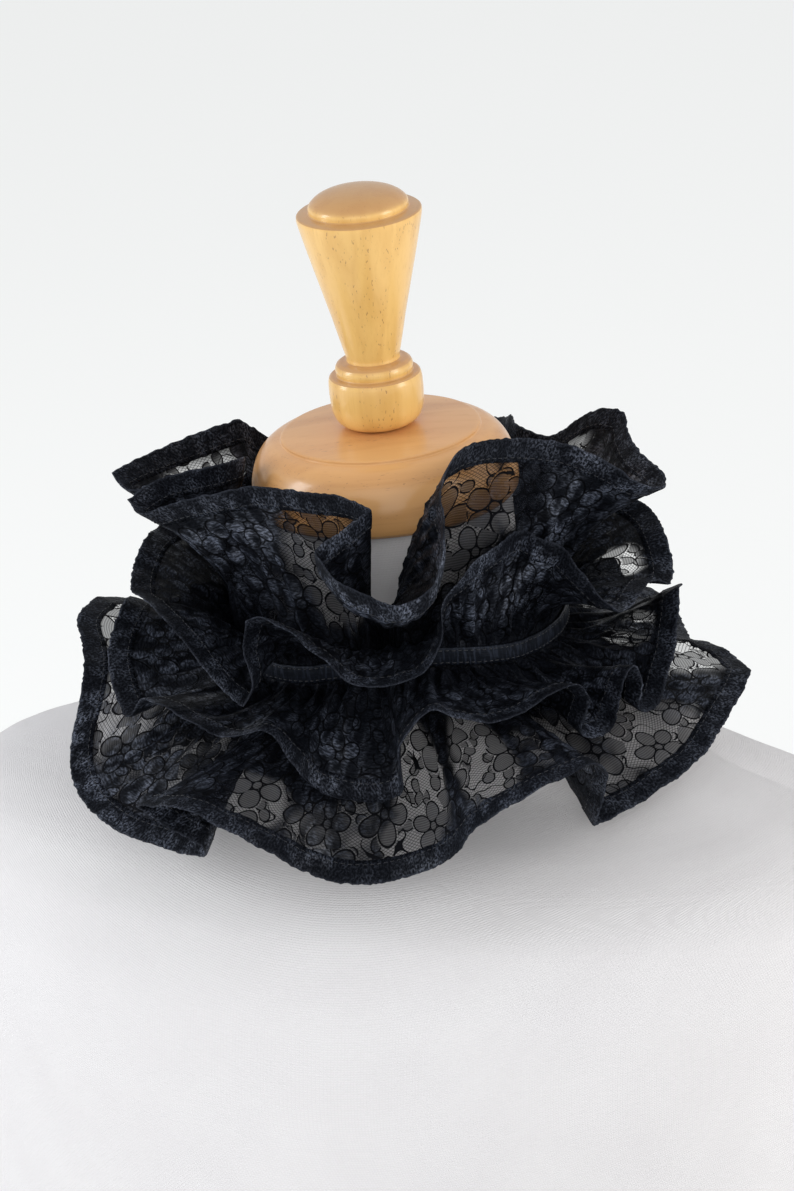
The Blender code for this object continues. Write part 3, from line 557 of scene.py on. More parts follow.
def clear_of_form(places):
    """Places in the part's frame lifted, where they lie too low, onto the form's shoulders."""
    rows = FORM_ROWS
    x, y, z = (places.reshape(-1, 3) / MM).T
    outside = ((np.abs(x)[:, None] / rows[:, HALF_WIDTH]) ** rows[:, SQUARE]
               + (np.abs(y)[:, None] / rows[:, HALF_DEPTH]) ** rows[:, SQUARE]) - 1.0
    first = np.clip(np.argmax(outside < 0, axis=1), 1, None)
    every = np.arange(len(x))
    high, low = outside[every, first - 1], outside[every, first]
    share = np.clip(high / np.where(high > low, high - low, 1.0), 0.0, 1.0)
    drop = rows[first - 1, DROP] + share * (rows[first, DROP] - rows[first - 1, DROP])
    least = np.where((outside < 0).any(axis=1), SEAM_HEIGHT - drop + FORM_CLEARANCE,
                     NOTHING_BELOW)
    near = np.where(np.hypot(x, y) > FORM_NEAR, least, NOTHING_BELOW)
    return np.stack([x, y, np.maximum(z, near)], -1).reshape(places.shape) * MM


def set_in_place(places):
    """From the collar's own frame in millimetres to the part's frame in metres."""
    angle = math.radians(COLLAR_TURN)
    c, s = math.cos(angle), math.sin(angle)
    x, y, z = places[..., 0], places[..., 1], places[..., 2]
    return MM * np.stack([c * x - s * y, s * x + c * y, z + SEAM_HEIGHT], -1)


def smooth_sides(mesh, sharp):
    """Smooth shading that breaks at edges sharper than that many degrees."""
    mesh.shade_smooth()
    mesh.set_sharp_from_angle(angle=math.radians(sharp))


def make_piece(name, places, faces, material, uv=None, marks=()):
    """A named piece from places in metres, riding on the part. uv is one pair for each place,
    and marks are named values, one for each place.
    """
    mesh = bpy.data.meshes.new(name)
    mesh.from_pydata([tuple(p) for p in places.reshape(-1, 3)], [], faces)
    mesh.validate()
    if uv is not None:
        layer = mesh.uv_layers.new(name="cut")
        corners = np.empty(len(mesh.loops), int)
        mesh.loops.foreach_get("vertex_index", corners)
        layer.data.foreach_set("uv", uv.reshape(-1, 2)[corners].astype(np.float32).ravel())
    for label, values in marks:
        layer = mesh.attributes.new(label, "FLOAT", "POINT")
        layer.data.foreach_set("value", values.astype(np.float32).ravel())
    mesh.shade_smooth()
    mesh.materials.append(material)
    piece = put(name, mesh)
    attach(piece, "root")
    return piece


def grid_faces(rows, columns, start=0, wrap=False):
    """Four-sided faces over a grid of places; wrap joins the last column to the first."""
    faces = []
    for i in range(rows - 1):
        for j in range(columns if wrap else columns - 1):
            k = (j + 1) % columns
            faces.append((start + i * columns + j, start + (i + 1) * columns + j,
                          start + (i + 1) * columns + k, start + i * columns + k))
    return faces


def tube_faces(rows, columns, start=0):
    """The faces of a closed tube: its sides and both ends."""
    last = start + (rows - 1) * columns
    return grid_faces(rows, columns, start, wrap=True) + [
        tuple(range(start, start + columns)), tuple(range(last, last + columns))[::-1]]


# ---- materials ----
class Shade:
    """A value or colour that changes over a surface, worked with Python's own signs."""

    def __init__(self, paint, socket):
        self.paint, self.socket = paint, socket

    def math(self, operation, *others):
        return self.paint.add("ShaderNodeMath", {"operation": operation},
                              dict(enumerate((self, *others))))

    def __add__(self, other): return self.math("ADD", other)
    def __mul__(self, other): return self.math("MULTIPLY", other)
    def __sub__(self, other): return self.math("SUBTRACT", other)
    def __truediv__(self, other): return self.math("DIVIDE", other)
    def __rsub__(self, other): return (self * -1.0) + other
    def __abs__(self): return self.math("ABSOLUTE")
    __radd__, __rmul__ = __add__, __mul__

    def most(self, other): return self.math("MAXIMUM", other)
    def fraction(self): return self.math("FRACT")
    def root(self): return self.math("SQRT")
    def sine(self): return self.math("SINE")
    def cosine(self): return self.math("COSINE")

    def stripes(self, pitch):
        """Stripes a pitch apart: 0 in the middle of each and 0.5 between them."""
        return abs((self * (1.0 / pitch)).fraction() - 0.5)

    def rise(self, low, high):
        """0 below low and 1 above high, with a soft step between; low may be the larger."""
        if low > high:
            return 1.0 - self.rise(high, low)
        return self.paint.add("ShaderNodeMapRange", {"interpolation_type": "SMOOTHSTEP"},
                              {"Value": self, "From Min": low, "From Max": high})


class Paint:
    """One procedural material."""

    def __init__(self, name, **constants):
        self.material = bpy.data.materials.new(name)
        self.material.use_nodes = True
        self.tree = self.material.node_tree
        self.shader = self.tree.nodes["Principled BSDF"]
        self.feed(**constants)

    def plug(self, socket, value):
        if isinstance(value, Shade):
            self.tree.links.new(value.socket, socket)
        else:
            socket.default_value = value

    def feed(self, **sockets):
        """Values and shades for the material's own sockets."""
        for socket, value in sockets.items():
            self.plug(self.shader.inputs[socket.replace("_", " ")], value)

    def add(self, kind, settings, sockets, output=0):
        """A node of that kind: its settings are made first, then its sockets."""
        node = self.tree.nodes.new(kind)
        for name, value in settings.items():
            setattr(node, name, value)
        for name, value in sockets.items():
            self.plug(node.inputs[name], value)
        if isinstance(output, tuple):
            return [Shade(self, node.outputs[name]) for name in output]
        return Shade(self, node.outputs[output])

    def vector(self, operation, first, second):
        return self.add("ShaderNodeVectorMath", {"operation": operation}, {0: first, 1: second})

    def moved(self, place, x, y, z=0.0): return self.vector("ADD", place, (x, y, z))
    def scaled(self, place, x, y, z=1.0): return self.vector("MULTIPLY", place, (x, y, z))

    def in_mm(self, place):
        return self.add("ShaderNodeVectorMath", {"operation": "SCALE"},
                        {0: place, "Scale": 1.0 / MM})

    def parts(self, vector):
        return self.add("ShaderNodeSeparateXYZ", {}, {0: vector}, ("X", "Y", "Z"))

    def cut(self):
        """The place on the flat cut, in millimetres: a vector, along, and across."""
        place = self.in_mm(self.add("ShaderNodeUVMap", {"uv_map": "cut"}, {}))
        along, across, _ = self.parts(place)
        return place, along, across

    def spot(self):
        """The place in the part's own frame."""
        return self.add("ShaderNodeTexCoord", {}, {}, "Object")

    def mark(self, label):
        """The piece's own named value."""
        return self.add("ShaderNodeAttribute", {"attribute_name": label}, {}, "Fac")

    def noise(self, place, size, detail=2.0, roughness=0.5, distortion=0.0):
        return self.add("ShaderNodeTexNoise", {"noise_dimensions": "3D"},
                        {"Vector": place, "Scale": 1.0 / size, "Detail": detail,
                         "Roughness": roughness, "Distortion": distortion})

    def colour(self, share, first, second):
        """first where share is 0 and second where it is 1."""
        first, second = (c if isinstance(c, Shade) else (*c, 1.0) for c in (first, second))
        return self.add("ShaderNodeMix", {"data_type": "RGBA"}, {0: share, 6: first, 7: second},
                        2)

    def bump(self, height, distance, strength):
        self.feed(Normal=self.add("ShaderNodeBump", {}, {
            "Height": height, "Distance": distance, "Strength": strength}))


def motif(paint, place, size, shift, randomness):
    """The nearest motif at every place: x and y from its middle, and its random numbers."""
    at = paint.moved(place, *shift)
    middle, chances = paint.add(
        "ShaderNodeTexVoronoi", {"voronoi_dimensions": "2D", "feature": "F1"},
        {"Vector": at, "Scale": 1.0 / size, "Randomness": randomness}, ("Position", "Color"))
    x, y, _ = paint.parts(paint.vector("SUBTRACT", at, middle))
    return x, y, *paint.add("ShaderNodeSeparateColor", {}, {0: chances},
                            ("Red", "Green", "Blue"))


FULL_TURN = 2.0 * math.pi
THREAD_BLACK = (0.0022, 0.0026, 0.0042)
OUTLINE_BLACK = (0.0015, 0.0015, 0.0022)
# painted highlight colours: threads are lightened towards the two sheens where lit, the hem's
# folded edge towards the third
LACE_SHEEN = (0.172, 0.199, 0.272)
HEM_SHEEN = (0.178, 0.204, 0.274)
FOLD_EDGE_HIGHLIGHT = (0.060, 0.067, 0.088)

# The lacework, in millimetres: cells hold one flower or one pair of leaves each; out is from
# the middle of the flower or the pair to the middle of a petal or leaf; long and wide are
# half sizes.
FLOWER_CELL, PETAL_OUT, PETAL_LONG, PETAL_WIDE = 26.0, 7.6, 5.3, 4.1
LEAF_CELL, LEAF_OUT, LEAF_LONG, LEAF_WIDE = 13.0, 3.1, 3.5, 2.7
PETALS = 5.0
HEART = 2.2                    # the radius of a flower's heart
NET_PITCH = 1.30
RIB_PITCH = 1.1


def flowers(paint, place, wander):
    """Rings round five-petalled flowers and round their hearts: 1 on the ring, less inside."""
    x, y, spin, grown, _ = motif(paint, place, FLOWER_CELL, (4.0, 9.0), 0.72)
    reach = (x * x + y * y).root()
    turn = y.math("ARCTAN2", x) + spin * FULL_TURN
    bloom = 0.88 + 0.42 * grown
    petal_turn = ((turn * (PETALS / FULL_TURN) + 10.0).fraction() - 0.5) * (FULL_TURN / PETALS)
    out = (reach * petal_turn.cosine() / bloom - PETAL_OUT) / PETAL_LONG
    side = reach * petal_turn.sine() / bloom / PETAL_WIDE
    petal = (out * out + side * side).root() + (wander - 0.5) * 0.35
    return petal, reach / (HEART * bloom)


def leaves(paint, place, wander):
    """Rings round pairs of leaves, some of them left out: 1 on the ring, less inside."""
    x, y, spin, _, kind = motif(paint, place, LEAF_CELL, (31.0, 17.0), 0.85)
    c, s = (spin * FULL_TURN).cosine(), (spin * FULL_TURN).sine()
    out = (abs(x * c + y * s) - LEAF_OUT) / LEAF_LONG
    side = (y * c - x * s) / LEAF_WIDE
    leaf = (out * out + side * side).root() + (wander - 0.5) * 0.4
    return leaf + kind.rise(0.22, 0.18) * 4.0


def lace_ground(paint):
    """What the lace and its folded hem share: crumples, fine crepe, patches, and the painted light
    on them.
    """
    place, along, across = paint.cut()
    crumple = paint.noise(paint.moved(paint.scaled(place, 1.0, 0.75), 60.0, 10.0), 7.5)
    crepe = paint.noise(paint.scaled(place, 0.32, 1.0), 1.9, 2.0, 0.55)
    patchy = paint.noise(paint.moved(place, 7.0, 300.0), 30.0, 1.0).rise(0.32, 0.64)
    # painted light: where the threads are lightened as if lit, from the crumples, patches and shiny
    # spots
    lit = crumple.rise(0.40, 0.64) * (0.12 + 0.38 * patchy + 0.75 * paint.mark("gloss"))
    return place, along, across, crumple, crepe, patchy, lit


def lace_paint(name):
    return Paint(name, Specular_IOR_Level=0.05, Specular_Tint=(0.80, 0.87, 1.0, 1.0),
                 Coat_Roughness=0.34, Coat_IOR=1.5, Roughness=0.60)


def folded_lace():
    """Lace folded double: closely worked, with painted glints and a painted highlight along its
    folded edge.
    """
    paint = lace_paint("folded_lace")
    place, _, across, crumple, crepe, patchy, lit = lace_ground(paint)
    grain = paint.noise(paint.scaled(place, 1.0, 0.7), 0.90, 2.0, 0.6)
    # painted glints: grains of the hem's threads are lightened towards HEM_SHEEN where lit
    sparkle = (0.04 + 0.96 * grain.rise(0.41, 0.68)) * (0.06 + 0.66 * lit)
    tint = paint.colour(sparkle, THREAD_BLACK, HEM_SHEEN)
    # painted highlight along the folded edge, in patches
    tint = paint.colour(across.rise(2.0, 0.8) * (0.08 + 0.26 * patchy), tint, FOLD_EDGE_HIGHLIGHT)
    paint.feed(Base_Color=tint, Coat_Weight=0.8 * sparkle)
    paint.bump(grain * 0.9 + crepe * 0.5 + crumple * 1.2, 0.0010, 0.9)
    return paint.material


def black_lace():
    """Floral lace: fine net, outlined satin petals and leaves, and trailing stems."""
    paint = lace_paint("black_lace")
    place, along, across, crumple, crepe, _, lit = lace_ground(paint)
    wander = paint.noise(place, 9.0, 1.0)
    petal, heart = flowers(paint, place, wander)
    leaf = leaves(paint, place, wander)
    apart = petal.rise(1.1, 1.3) * heart.rise(1.1, 1.3)
    trail = paint.noise(paint.moved(place, 200.0, 70.0), 17.0, 1.0)
    stems = abs(trail - 0.5).rise(0.0135, 0.007) * apart
    outline = abs(petal - 1.0).rise(0.110, 0.060) * heart.rise(0.8, 1.0)
    outline = outline.most(abs(heart - 1.0).rise(0.20, 0.10))
    outline = outline.most(abs(leaf - 1.0).rise(0.16, 0.09) * apart).most(stems)
    filled = petal.rise(1.03, 0.97).most(heart.rise(1.03, 0.97))
    filled = filled.most(leaf.rise(1.03, 0.97) * apart)
    ribs = (across + 0.3 * RIB_PITCH * wander).stripes(RIB_PITCH).rise(0.12, 0.34)
    net = (along * 0.5 + across * 0.866).stripes(NET_PITCH).rise(0.33, 0.45)
    net = net.most((along * 0.5 - across * 0.866).stripes(NET_PITCH).rise(0.33, 0.45))
    cloudy = paint.noise(place, 30.0)
    grain = paint.noise(paint.scaled(place, 0.40, 1.0), 0.95, 2.0, 0.6)
    glint = 0.12 + 0.88 * grain.rise(0.40, 0.70)
    gathered = paint.mark("gathered")
    ragged = paint.noise(paint.moved(place, 40.0, 90.0), 9.0, 1.0)
    show = paint.mark("open_net") * (0.55 + 0.9 * cloudy) + 0.5 * (ragged - 0.5)
    show = show.rise(0.04, 0.74) * gathered.rise(0.95, 0.4)
    ground = 0.998 + (0.20 + 0.60 * net - 0.998) * show
    flower = 0.999 + (0.66 + 0.14 * ribs - 0.999) * show * show
    solid = ground + filled * (flower - ground)
    solid = solid + outline * (0.996 - solid)
    # painted shade: the painted highlights fade out in the gathers at the ribbon
    lit = lit * (1.0 - 0.85 * gathered)
    # painted highlights: the threads' colour is lightened towards LACE_SHEEN where lit and
    # glinting, less in open net
    sparkle = glint * (0.52 + 0.48 * filled) * (0.04 + 0.72 * lit) * (1.0 - 0.6 * show)
    tint = paint.colour(sparkle, THREAD_BLACK, LACE_SHEEN)
    satin = (0.15 + 0.85 * glint) * (0.50 + 0.50 * filled) * (0.06 + 0.95 * lit)
    paint.feed(Base_Color=paint.colour(outline * 0.88, tint, OUTLINE_BLACK), Alpha=solid,
               Coat_Weight=satin * (1.0 - 0.8 * outline) * (1.0 - 0.7 * show))
    paint.bump(filled * 0.35 + outline * 0.4 + grain * 0.6 + crepe * 0.55 + crumple * 1.5,
               0.0010, 0.9)
    return paint.material


def black_satin():
    """Black satin ribbon with a faint cross grain."""
    paint = Paint("satin_ribbon", Specular_IOR_Level=0.16, Anisotropic=0.5,
                  Specular_Tint=(0.7, 0.8, 1.0, 1.0))
    place, _, _ = paint.cut()
    weave = paint.noise(paint.scaled(place, 0.12, 3.0), 0.9)
    soft = paint.noise(place, 14.0)
    ticks = paint.noise(paint.scaled(place, 1.0, 0.16), 1.1, 1.0).rise(0.50, 0.66)
    shade = paint.colour(weave.rise(0.45, 0.75), (0.0038, 0.0046, 0.0070),
                         (0.0092, 0.0114, 0.0176))
    paint.feed(Base_Color=paint.colour(ticks * 0.55, shade, (0.028, 0.034, 0.051)),
               Roughness=0.40 + 0.2 * (soft - 0.5) + 0.1 * weave)
    paint.bump(weave, 0.0002, 0.6)
    return paint.material


def sewing_thread():
    paint = Paint("sewing_thread", Specular_IOR_Level=0.35, Sheen_Weight=0.2)
    _, along, across = paint.cut()
    twist = ((along + across) * 2.2).fraction() - 0.5
    paint.feed(Base_Color=paint.colour(abs(twist).rise(0.1, 0.4), (0.006, 0.006, 0.008),
                                       (0.030, 0.033, 0.042)), Roughness=0.5 + 0.2 * twist)
    paint.bump(abs(twist), 0.0001, 0.8)
    return paint.material


COLUMN_PITCH, LOOP_PITCH = 1.25, 1.05


def white_jersey():
    """Fine white knit stretched over the form: columns of small loops."""
    paint = Paint("white_knit", Specular_IOR_Level=0.2, Sheen_Weight=0.15,
                  Sheen_Tint=(1.0, 0.97, 0.98, 1.0))
    place, along, across = paint.cut()
    lean = along.stripes(COLUMN_PITCH)
    loop = (across + lean * 0.9 * LOOP_PITCH).stripes(LOOP_PITCH).rise(0.42, 0.18)
    drift = paint.noise(place, 46.0, 3.0, 0.55)
    slub = paint.noise(paint.scaled(place, 0.10, 1.6), 2.4)
    fleck = paint.noise(paint.moved(place, 90.0, 40.0), 0.7, 1.0).rise(0.70, 0.78)
    knit = lean.rise(0.46, 0.30) * loop
    shade = paint.colour((drift - 0.5) * 1.4 + 0.5, (0.752, 0.732, 0.742),
                         (0.802, 0.788, 0.793))
    shade = paint.colour(knit.rise(0.5, 0.0) * 0.26, shade, (0.63, 0.61, 0.62))
    shade = paint.colour(fleck * 0.25, shade, (0.93, 0.92, 0.93))
    paint.feed(Base_Color=shade, Roughness=0.90 - 0.08 * slub)
    paint.bump(knit * 0.6 + slub * 0.6, 0.0003, 0.7)
    return paint.material


# the colour of the wood's upward faces: its end grain, and painted shade on its top
END_GRAIN_AND_TOP_SHADE = (0.470, 0.235, 0.098)


def turned_wood(name, stretch, tick, light, dark, deep, end_grain_and_top_shade, turn=0.0):
    """Honey beech under satin varnish. stretch and tick: how the grain and its flecks run;
    deep: the flecks' colour; end grain and shade: how much the wood's upward faces darken, as end
    grain and as painted shade.
    """
    paint = Paint(name, Coat_Weight=0.55, Coat_Roughness=0.16, Specular_IOR_Level=0.4)
    up = paint.parts(paint.add("ShaderNodeNewGeometry", {}, {}, "Normal"))[2]
    place = paint.add("ShaderNodeVectorRotate", {"rotation_type": "Z_AXIS"},
                      {"Vector": paint.in_mm(paint.spot()), "Angle": math.radians(turn)})
    fine = paint.noise(paint.scaled(place, *stretch), 1.3, 3.0, 0.6, 0.2)
    broad = paint.noise(paint.scaled(place, *stretch), 7.5, 2.0, 0.5, 0.4)
    fleck = paint.noise(paint.scaled(place, *tick), 0.8, 1.0, 0.5)
    flecks = fleck.rise(0.665, 0.71) * broad.rise(0.40, 0.55)
    shade = paint.colour(broad.rise(0.35, 0.70) * 0.75, light, dark)
    shade = paint.colour(fine.rise(0.50, 0.78) * 0.45, shade, dark)
    shade = paint.colour(flecks * 0.65, shade, deep)
    # painted shade: upward faces darkened, partly for the finial's end grain
    shade = paint.colour(up.rise(0.25, 0.80) * end_grain_and_top_shade, shade, END_GRAIN_AND_TOP_SHADE)
    paint.feed(Base_Color=shade, Roughness=0.36 + 0.16 * (fine - 0.5))
    paint.bump(fine * 0.3 - flecks * 0.5, 0.0002, 0.3)
    return paint.material


def blackened_wire():
    paint = Paint("blackened_wire", Metallic=1.0)
    worn = paint.noise(paint.spot(), 0.0011)
    paint.feed(Base_Color=paint.colour(worn.rise(0.45, 0.7), (0.045, 0.045, 0.05),
                                       (0.16, 0.16, 0.17)), Roughness=0.30 + 0.25 * worn)
    return paint.material


lace, hem_lace, ribbon_satin = black_lace(), folded_lace(), black_satin()
thread, knit = sewing_thread(), white_jersey()


# ---- the ruffles ----
UNDER_HEM = 2                  # the hem's column where the single lace starts
SPOT_FADE = (0.2, 2.4)         # a spot fades between these squares of the distance in its sizes


def laid_out(spots, along, depth):
    """How strongly a kind of lacework shows at places on the cut, from its rows of spots."""
    shown = np.zeros(np.broadcast_shapes(along.shape, depth.shape))
    for place, middle, half_length, half_width, amount in spots:
        off = ((along - place) / half_length) ** 2 + ((depth - middle) / half_width) ** 2
        shown = np.maximum(shown, amount * (1 - soft_step(off, *SPOT_FADE)))
    return shown


def lace_sheet(ruffle, grid, sewn_run, along, depth):
    """The single layer of lace, from under the hem's fold to under the ribbon."""
    places = np.concatenate([grid[:, UNDER_HEM:], sewn_run], axis=1)
    under_ribbon = depth[:, -1:] + np.array([[2.0, 4.5]])
    down = np.concatenate([depth[:, UNDER_HEM:], under_ribbon], axis=1)
    left = np.broadcast_to(along[:, :1], down.shape)
    gathered = 1 - soft_step(1 - down / depth[:, -1:], 0.04, 0.40)
    piece = make_piece(ruffle.name + "_lace", clear_of_form(set_in_place(places)),
                       grid_faces(*places.shape[:2]), lace,
                       MM * np.stack([left, down], -1),
                       marks=[("open_net", laid_out(ruffle.net, left, down)),
                              ("gloss", laid_out(ruffle.gloss, left, down)),
                              ("gathered", gathered)])
    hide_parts(ruffle.name + "_ruffle")
    return piece


def folded_hem(ruffle, grid, along, depth):
    """The lace folded over itself along the hem: a soft closed band round the lace's edge."""
    chance = np.random.default_rng(100 + ruffle.seed)
    steps = len(HEM_STEPS)
    core, down = grid[:, :steps], depth[:, :steps]
    normal = grid_normals(grid)[:, :steps]
    sides = []
    for side in (1.0, -1.0):
        swell = np.array(HEM_SWELL)[None] * (1 + 0.12 * ripple(chance, along[:, :steps],
                                                               26.0, 3.5))
        swell = swell + 0.05 * ripple(chance, along[:, :steps] + 2.0 * down, 7.0, 2.2)
        sides.append(core + side * swell[..., None] * normal)
    fold = core[:, :1] + 0.35 * (core[:, :1] - core[:, 1:2])
    ring = np.concatenate([sides[0][:, ::-1], fold, sides[1]], axis=1)
    deep = np.concatenate([down[:, ::-1], -0.3 + 0 * down[:, :1], down], axis=1)
    left = np.broadcast_to(along[:, :1], deep.shape)
    return make_piece(ruffle.name + "_hem", set_in_place(ring), tube_faces(*ring.shape[:2]),
                      hem_lace, MM * np.stack([left, deep + 1.0], -1),
                      marks=[("gloss", laid_out(ruffle.gloss, left, deep))])


STITCH_RUN = np.array([0.0, 0.18, 0.5, 0.82, 1.0])       # along one stitch
STITCH_RISE = np.array([-1.2, 0.5, 0.9, 0.5, -1.2])      # out of the cloth, in radii
STITCH_SWELL = (0.55, 0.95, 1.0, 0.95, 0.55)
STITCH_SIDES = 6


def stitch_row(name, places, normals, pitch, length, radius):
    """Small sewn stitches along a line: short rods that dip into the cloth at both ends."""
    step = np.linalg.norm(np.diff(places, axis=0), axis=1)
    run = np.concatenate([[0.0], np.cumsum(step)])
    vertices, faces, uv = [], [], []
    for k in range(int(run[-1] // pitch)):
        marks = k * pitch + length * STITCH_RUN
        line, out = (np.stack([np.interp(marks, run, way[:, i]) for i in range(3)], 1)
                     for way in (places, normals))
        out = unit(out)
        line = line + out * (radius * STITCH_RISE)[:, None]
        tangent = unit(np.gradient(line, axis=0))
        beside = unit(np.cross(tangent, out))
        over = np.cross(beside, tangent)
        faces += tube_faces(len(line), STITCH_SIDES, len(vertices))
        for i, swell in enumerate(STITCH_SWELL):
            for m in range(STITCH_SIDES):
                a = 2 * math.pi * m / STITCH_SIDES
                vertices.append(line[i] + radius * swell * (math.cos(a) * beside[i]
                                                            + math.sin(a) * over[i]))
                uv.append((MM * marks[i], MM * m / STITCH_SIDES))
    return make_piece(name, set_in_place(np.array(vertices)), faces, thread,
                      np.array(uv))


# ---- the ribbon ----
RIBBON_STATIONS = 420
END_TURN = 0.5                 # degrees from the middle of the opening to the ribbon's end
RIBBON_SWAY, RIBBON_SWELL = 0.11, 0.16     # how far it wanders up, and out between stitches
HALF = 0.5 * RIBBON_WIDTH
RIBBON_SECTION = [
    # outwards from the ribbon's back, and up
    (0.0, HALF - 0.25), (0.30, HALF - 0.04), (0.62, HALF - 0.12), (0.80, HALF - 0.9),
    (0.86, HALF - 1.7), (0.92, 1.2), (0.94, 0.0), (0.92, -1.2), (0.86, 1.7 - HALF),
    (0.80, 0.9 - HALF), (0.62, 0.12 - HALF), (0.30, 0.04 - HALF), (0.0, 0.25 - HALF),
    (-0.02, 0.0),
]


def ribbon():
    """The satin ribbon over the gathers, pulled in a little at every stitch."""
    chance = np.random.default_rng(23)
    turns = np.linspace(OPENING_TURN - 360.0 + END_TURN, OPENING_TURN - END_TURN,
                        RIBBON_STATIONS)
    run = np.radians(turns - turns[0]) * RIBBON_RADIUS
    height = RIBBON_SWAY * ripple(chance, run, 60.0, 14.0) + seam_rise(turns)
    swell = RIBBON_SWELL * ripple(chance, run, 11.0, 3.4)
    ring = np.stack([
        polar(turns, RIBBON_RADIUS - 0.5 * RIBBON_WALL + out
              + (out > 0.3) * swell * (1 - 0.1 * abs(level)), level + height)
        for out, level in RIBBON_SECTION], 1)
    faces = [face[::-1] for face in tube_faces(*ring.shape[:2])]
    width = np.cumsum([0.0] + [math.dist(a, b)
                               for a, b in zip(RIBBON_SECTION, RIBBON_SECTION[1:])])
    uv = MM * np.stack(np.broadcast_arrays(run[:, None], width[None]), -1)
    piece = make_piece("satin_ribbon", set_in_place(ring), faces, ribbon_satin,
                       uv)
    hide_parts("neck_ribbon")
    rows = []
    for label, level in (("upper", HALF - 1.3), ("lower", 1.3 - HALF)):
        line = polar(turns, RIBBON_RADIUS + 0.42 + swell * 0.8, level + height)
        rows.append(stitch_row(f"ribbon_{label}_stitches", line, polar(turns, 1.0, 0.0),
                               pitch=2.9, length=1.9, radius=0.19))
    return [piece, *rows]


# ---- each ruffle with its hem and stitches ----
STITCH_COLUMN = len(HEM_STEPS) - 2
ribbon_pieces = ribbon()
for ruffle in RUFFLES:
    grid, sewn_run, along, depth = creased_ruffle(ruffle)
    cloth = lace_sheet(ruffle, grid, sewn_run, along, depth)
    band = folded_hem(ruffle, grid, along, depth)
    normal = grid_normals(grid)[:, STITCH_COLUMN]
    for label, side in (("inner", 1.0), ("outer", -1.0)):
        line = grid[:, STITCH_COLUMN] + side * (HEM_SWELL[STITCH_COLUMN] + 0.03) * normal
        stitch_row(f"{ruffle.name}_{label}_stitches", line, side * normal,
                               pitch=3.1, length=2.0, radius=0.14)
    length = float(along[-1, 0]) * MM                       # cut as a curved strip
    ruffle.cut * MM
    0.5 * (length + NECK_EDGE * MM) * ruffle.cut * MM

# ---- the dress form ----
FORM_SIDES = 168
CHEST_REACH = 120.0            # the knit's columns are spaced as on a chest at least this wide


def form():
    """The jersey-covered bust: squared ellipses from the neck to a flat base."""
    turns = np.linspace(0.0, 2.0 * math.pi, FORM_SIDES + 1)
    power = (2.0 / FORM_ROWS[:, SQUARE])[:, None]
    x, y = (np.sign(way) * np.abs(way) ** power * FORM_ROWS[:, half, None]
            for way, half in ((np.cos(turns), HALF_WIDTH), (np.sin(turns), HALF_DEPTH)))
    grid = np.stack([x, y, np.broadcast_to(SEAM_HEIGHT - FORM_ROWS[:, DROP, None], x.shape)], -1)
    steps = np.linalg.norm(np.diff(grid, axis=0), axis=2)
    down = np.concatenate([0.0 * steps[:1], np.cumsum(steps, axis=0)])
    round_way = turns[None] * np.maximum(FORM_ROWS[:, HALF_WIDTH, None], CHEST_REACH)
    faces = grid_faces(*x.shape)
    last = x.size - FORM_SIDES - 1
    faces += [tuple(range(FORM_SIDES))[::-1], tuple(range(last, last + FORM_SIDES))]
    piece = make_piece("jersey_form", MM * grid, faces, knit,
                       MM * np.stack([round_way, down], -1))
    smooth_sides(piece.data, sharp=50)
    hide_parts("dress_form")


form()

# ---- the turned wood ----
SHARP_TURN = 0.88              # the cosine past which a turned bend is a sharp step
LONG_BEND = 1.2                # a longer stretch than this is drawn in parts
# One row for each turned bend, as (radius, height): over the cap's top edge, or the foot.
CAP_PROFILE = [
    (0.0, CAP_DOME), (13.0, 1.95), (28.0, 1.2), (40.0, 0.35), (42.3, 0.0), (42.7, -0.25),
    (42.8, -1.0), (43.2, -1.5), (47.2, -2.7), (50.2, -4.7), (52.6, -7.3), (54.4, -10.4),
    (55.8, -14.2), (56.7, -18.2), (CAP_RADIUS, -22.0), (CAP_RADIUS, -26.8), (56.7, -28.4),
    (55.6, -CAP_DEPTH), (50.0, -CAP_DEPTH),
]
FINIAL_PROFILE = [
    (0.0, 0.0), (12.0, 0.0), (15.2, 1.0), (17.4, 2.9), (18.9, 5.7), (19.7, 9.0), (20.0, 13.0),
    (20.05, 17.0), (19.9, 20.6), (19.4, 22.3), (18.6, 22.9), (16.6, 23.1), (16.3, 23.5),
    (16.6, 25.0), (16.5, 26.4), (15.9, 27.7), (14.6, 28.6), (12.2, 28.9), (11.5, 29.2),
    (11.4, 30.2), (11.8, 32.0), (12.6, 35.4), (13.7, 39.9), (15.8, 49.0), (18.15, 58.2),
    (20.45, 67.3), (22.8, 76.5), (25.0, 85.6), (26.2, 90.8), (26.6, 93.4), (26.5, 94.4),
    (26.0, 94.8), (21.6, 95.5), (21.25, 95.9), (21.2, 98.0), (20.7, 98.9), (18.6, 100.9),
    (15.0, 102.8), (10.5, 104.0), (5.0, 104.7), (0.0, 104.9),
]


def rounded(profile, parts=4):
    """The profile with its long bends eased and its sharp steps kept."""
    table = np.array(profile, float)
    way = np.diff(table, axis=0)
    span = np.linalg.norm(way, axis=1)
    way /= span[:, None]
    rows = [table[0]]
    for k, (start, end) in enumerate(zip(table, table[1:])):
        leave, arrive = (
            span[k] * (way[k] if beside @ way[k] < SHARP_TURN else unit(beside + way[k]))
            for beside in (way[max(k - 1, 0)], way[min(k + 1, len(way) - 1)]))
        shares = np.arange(1, parts + 1) / parts if span[k] > LONG_BEND else [1.0]
        rows += [bent(s, start, end, leave, arrive) for s in shares]
    return np.array(rows)


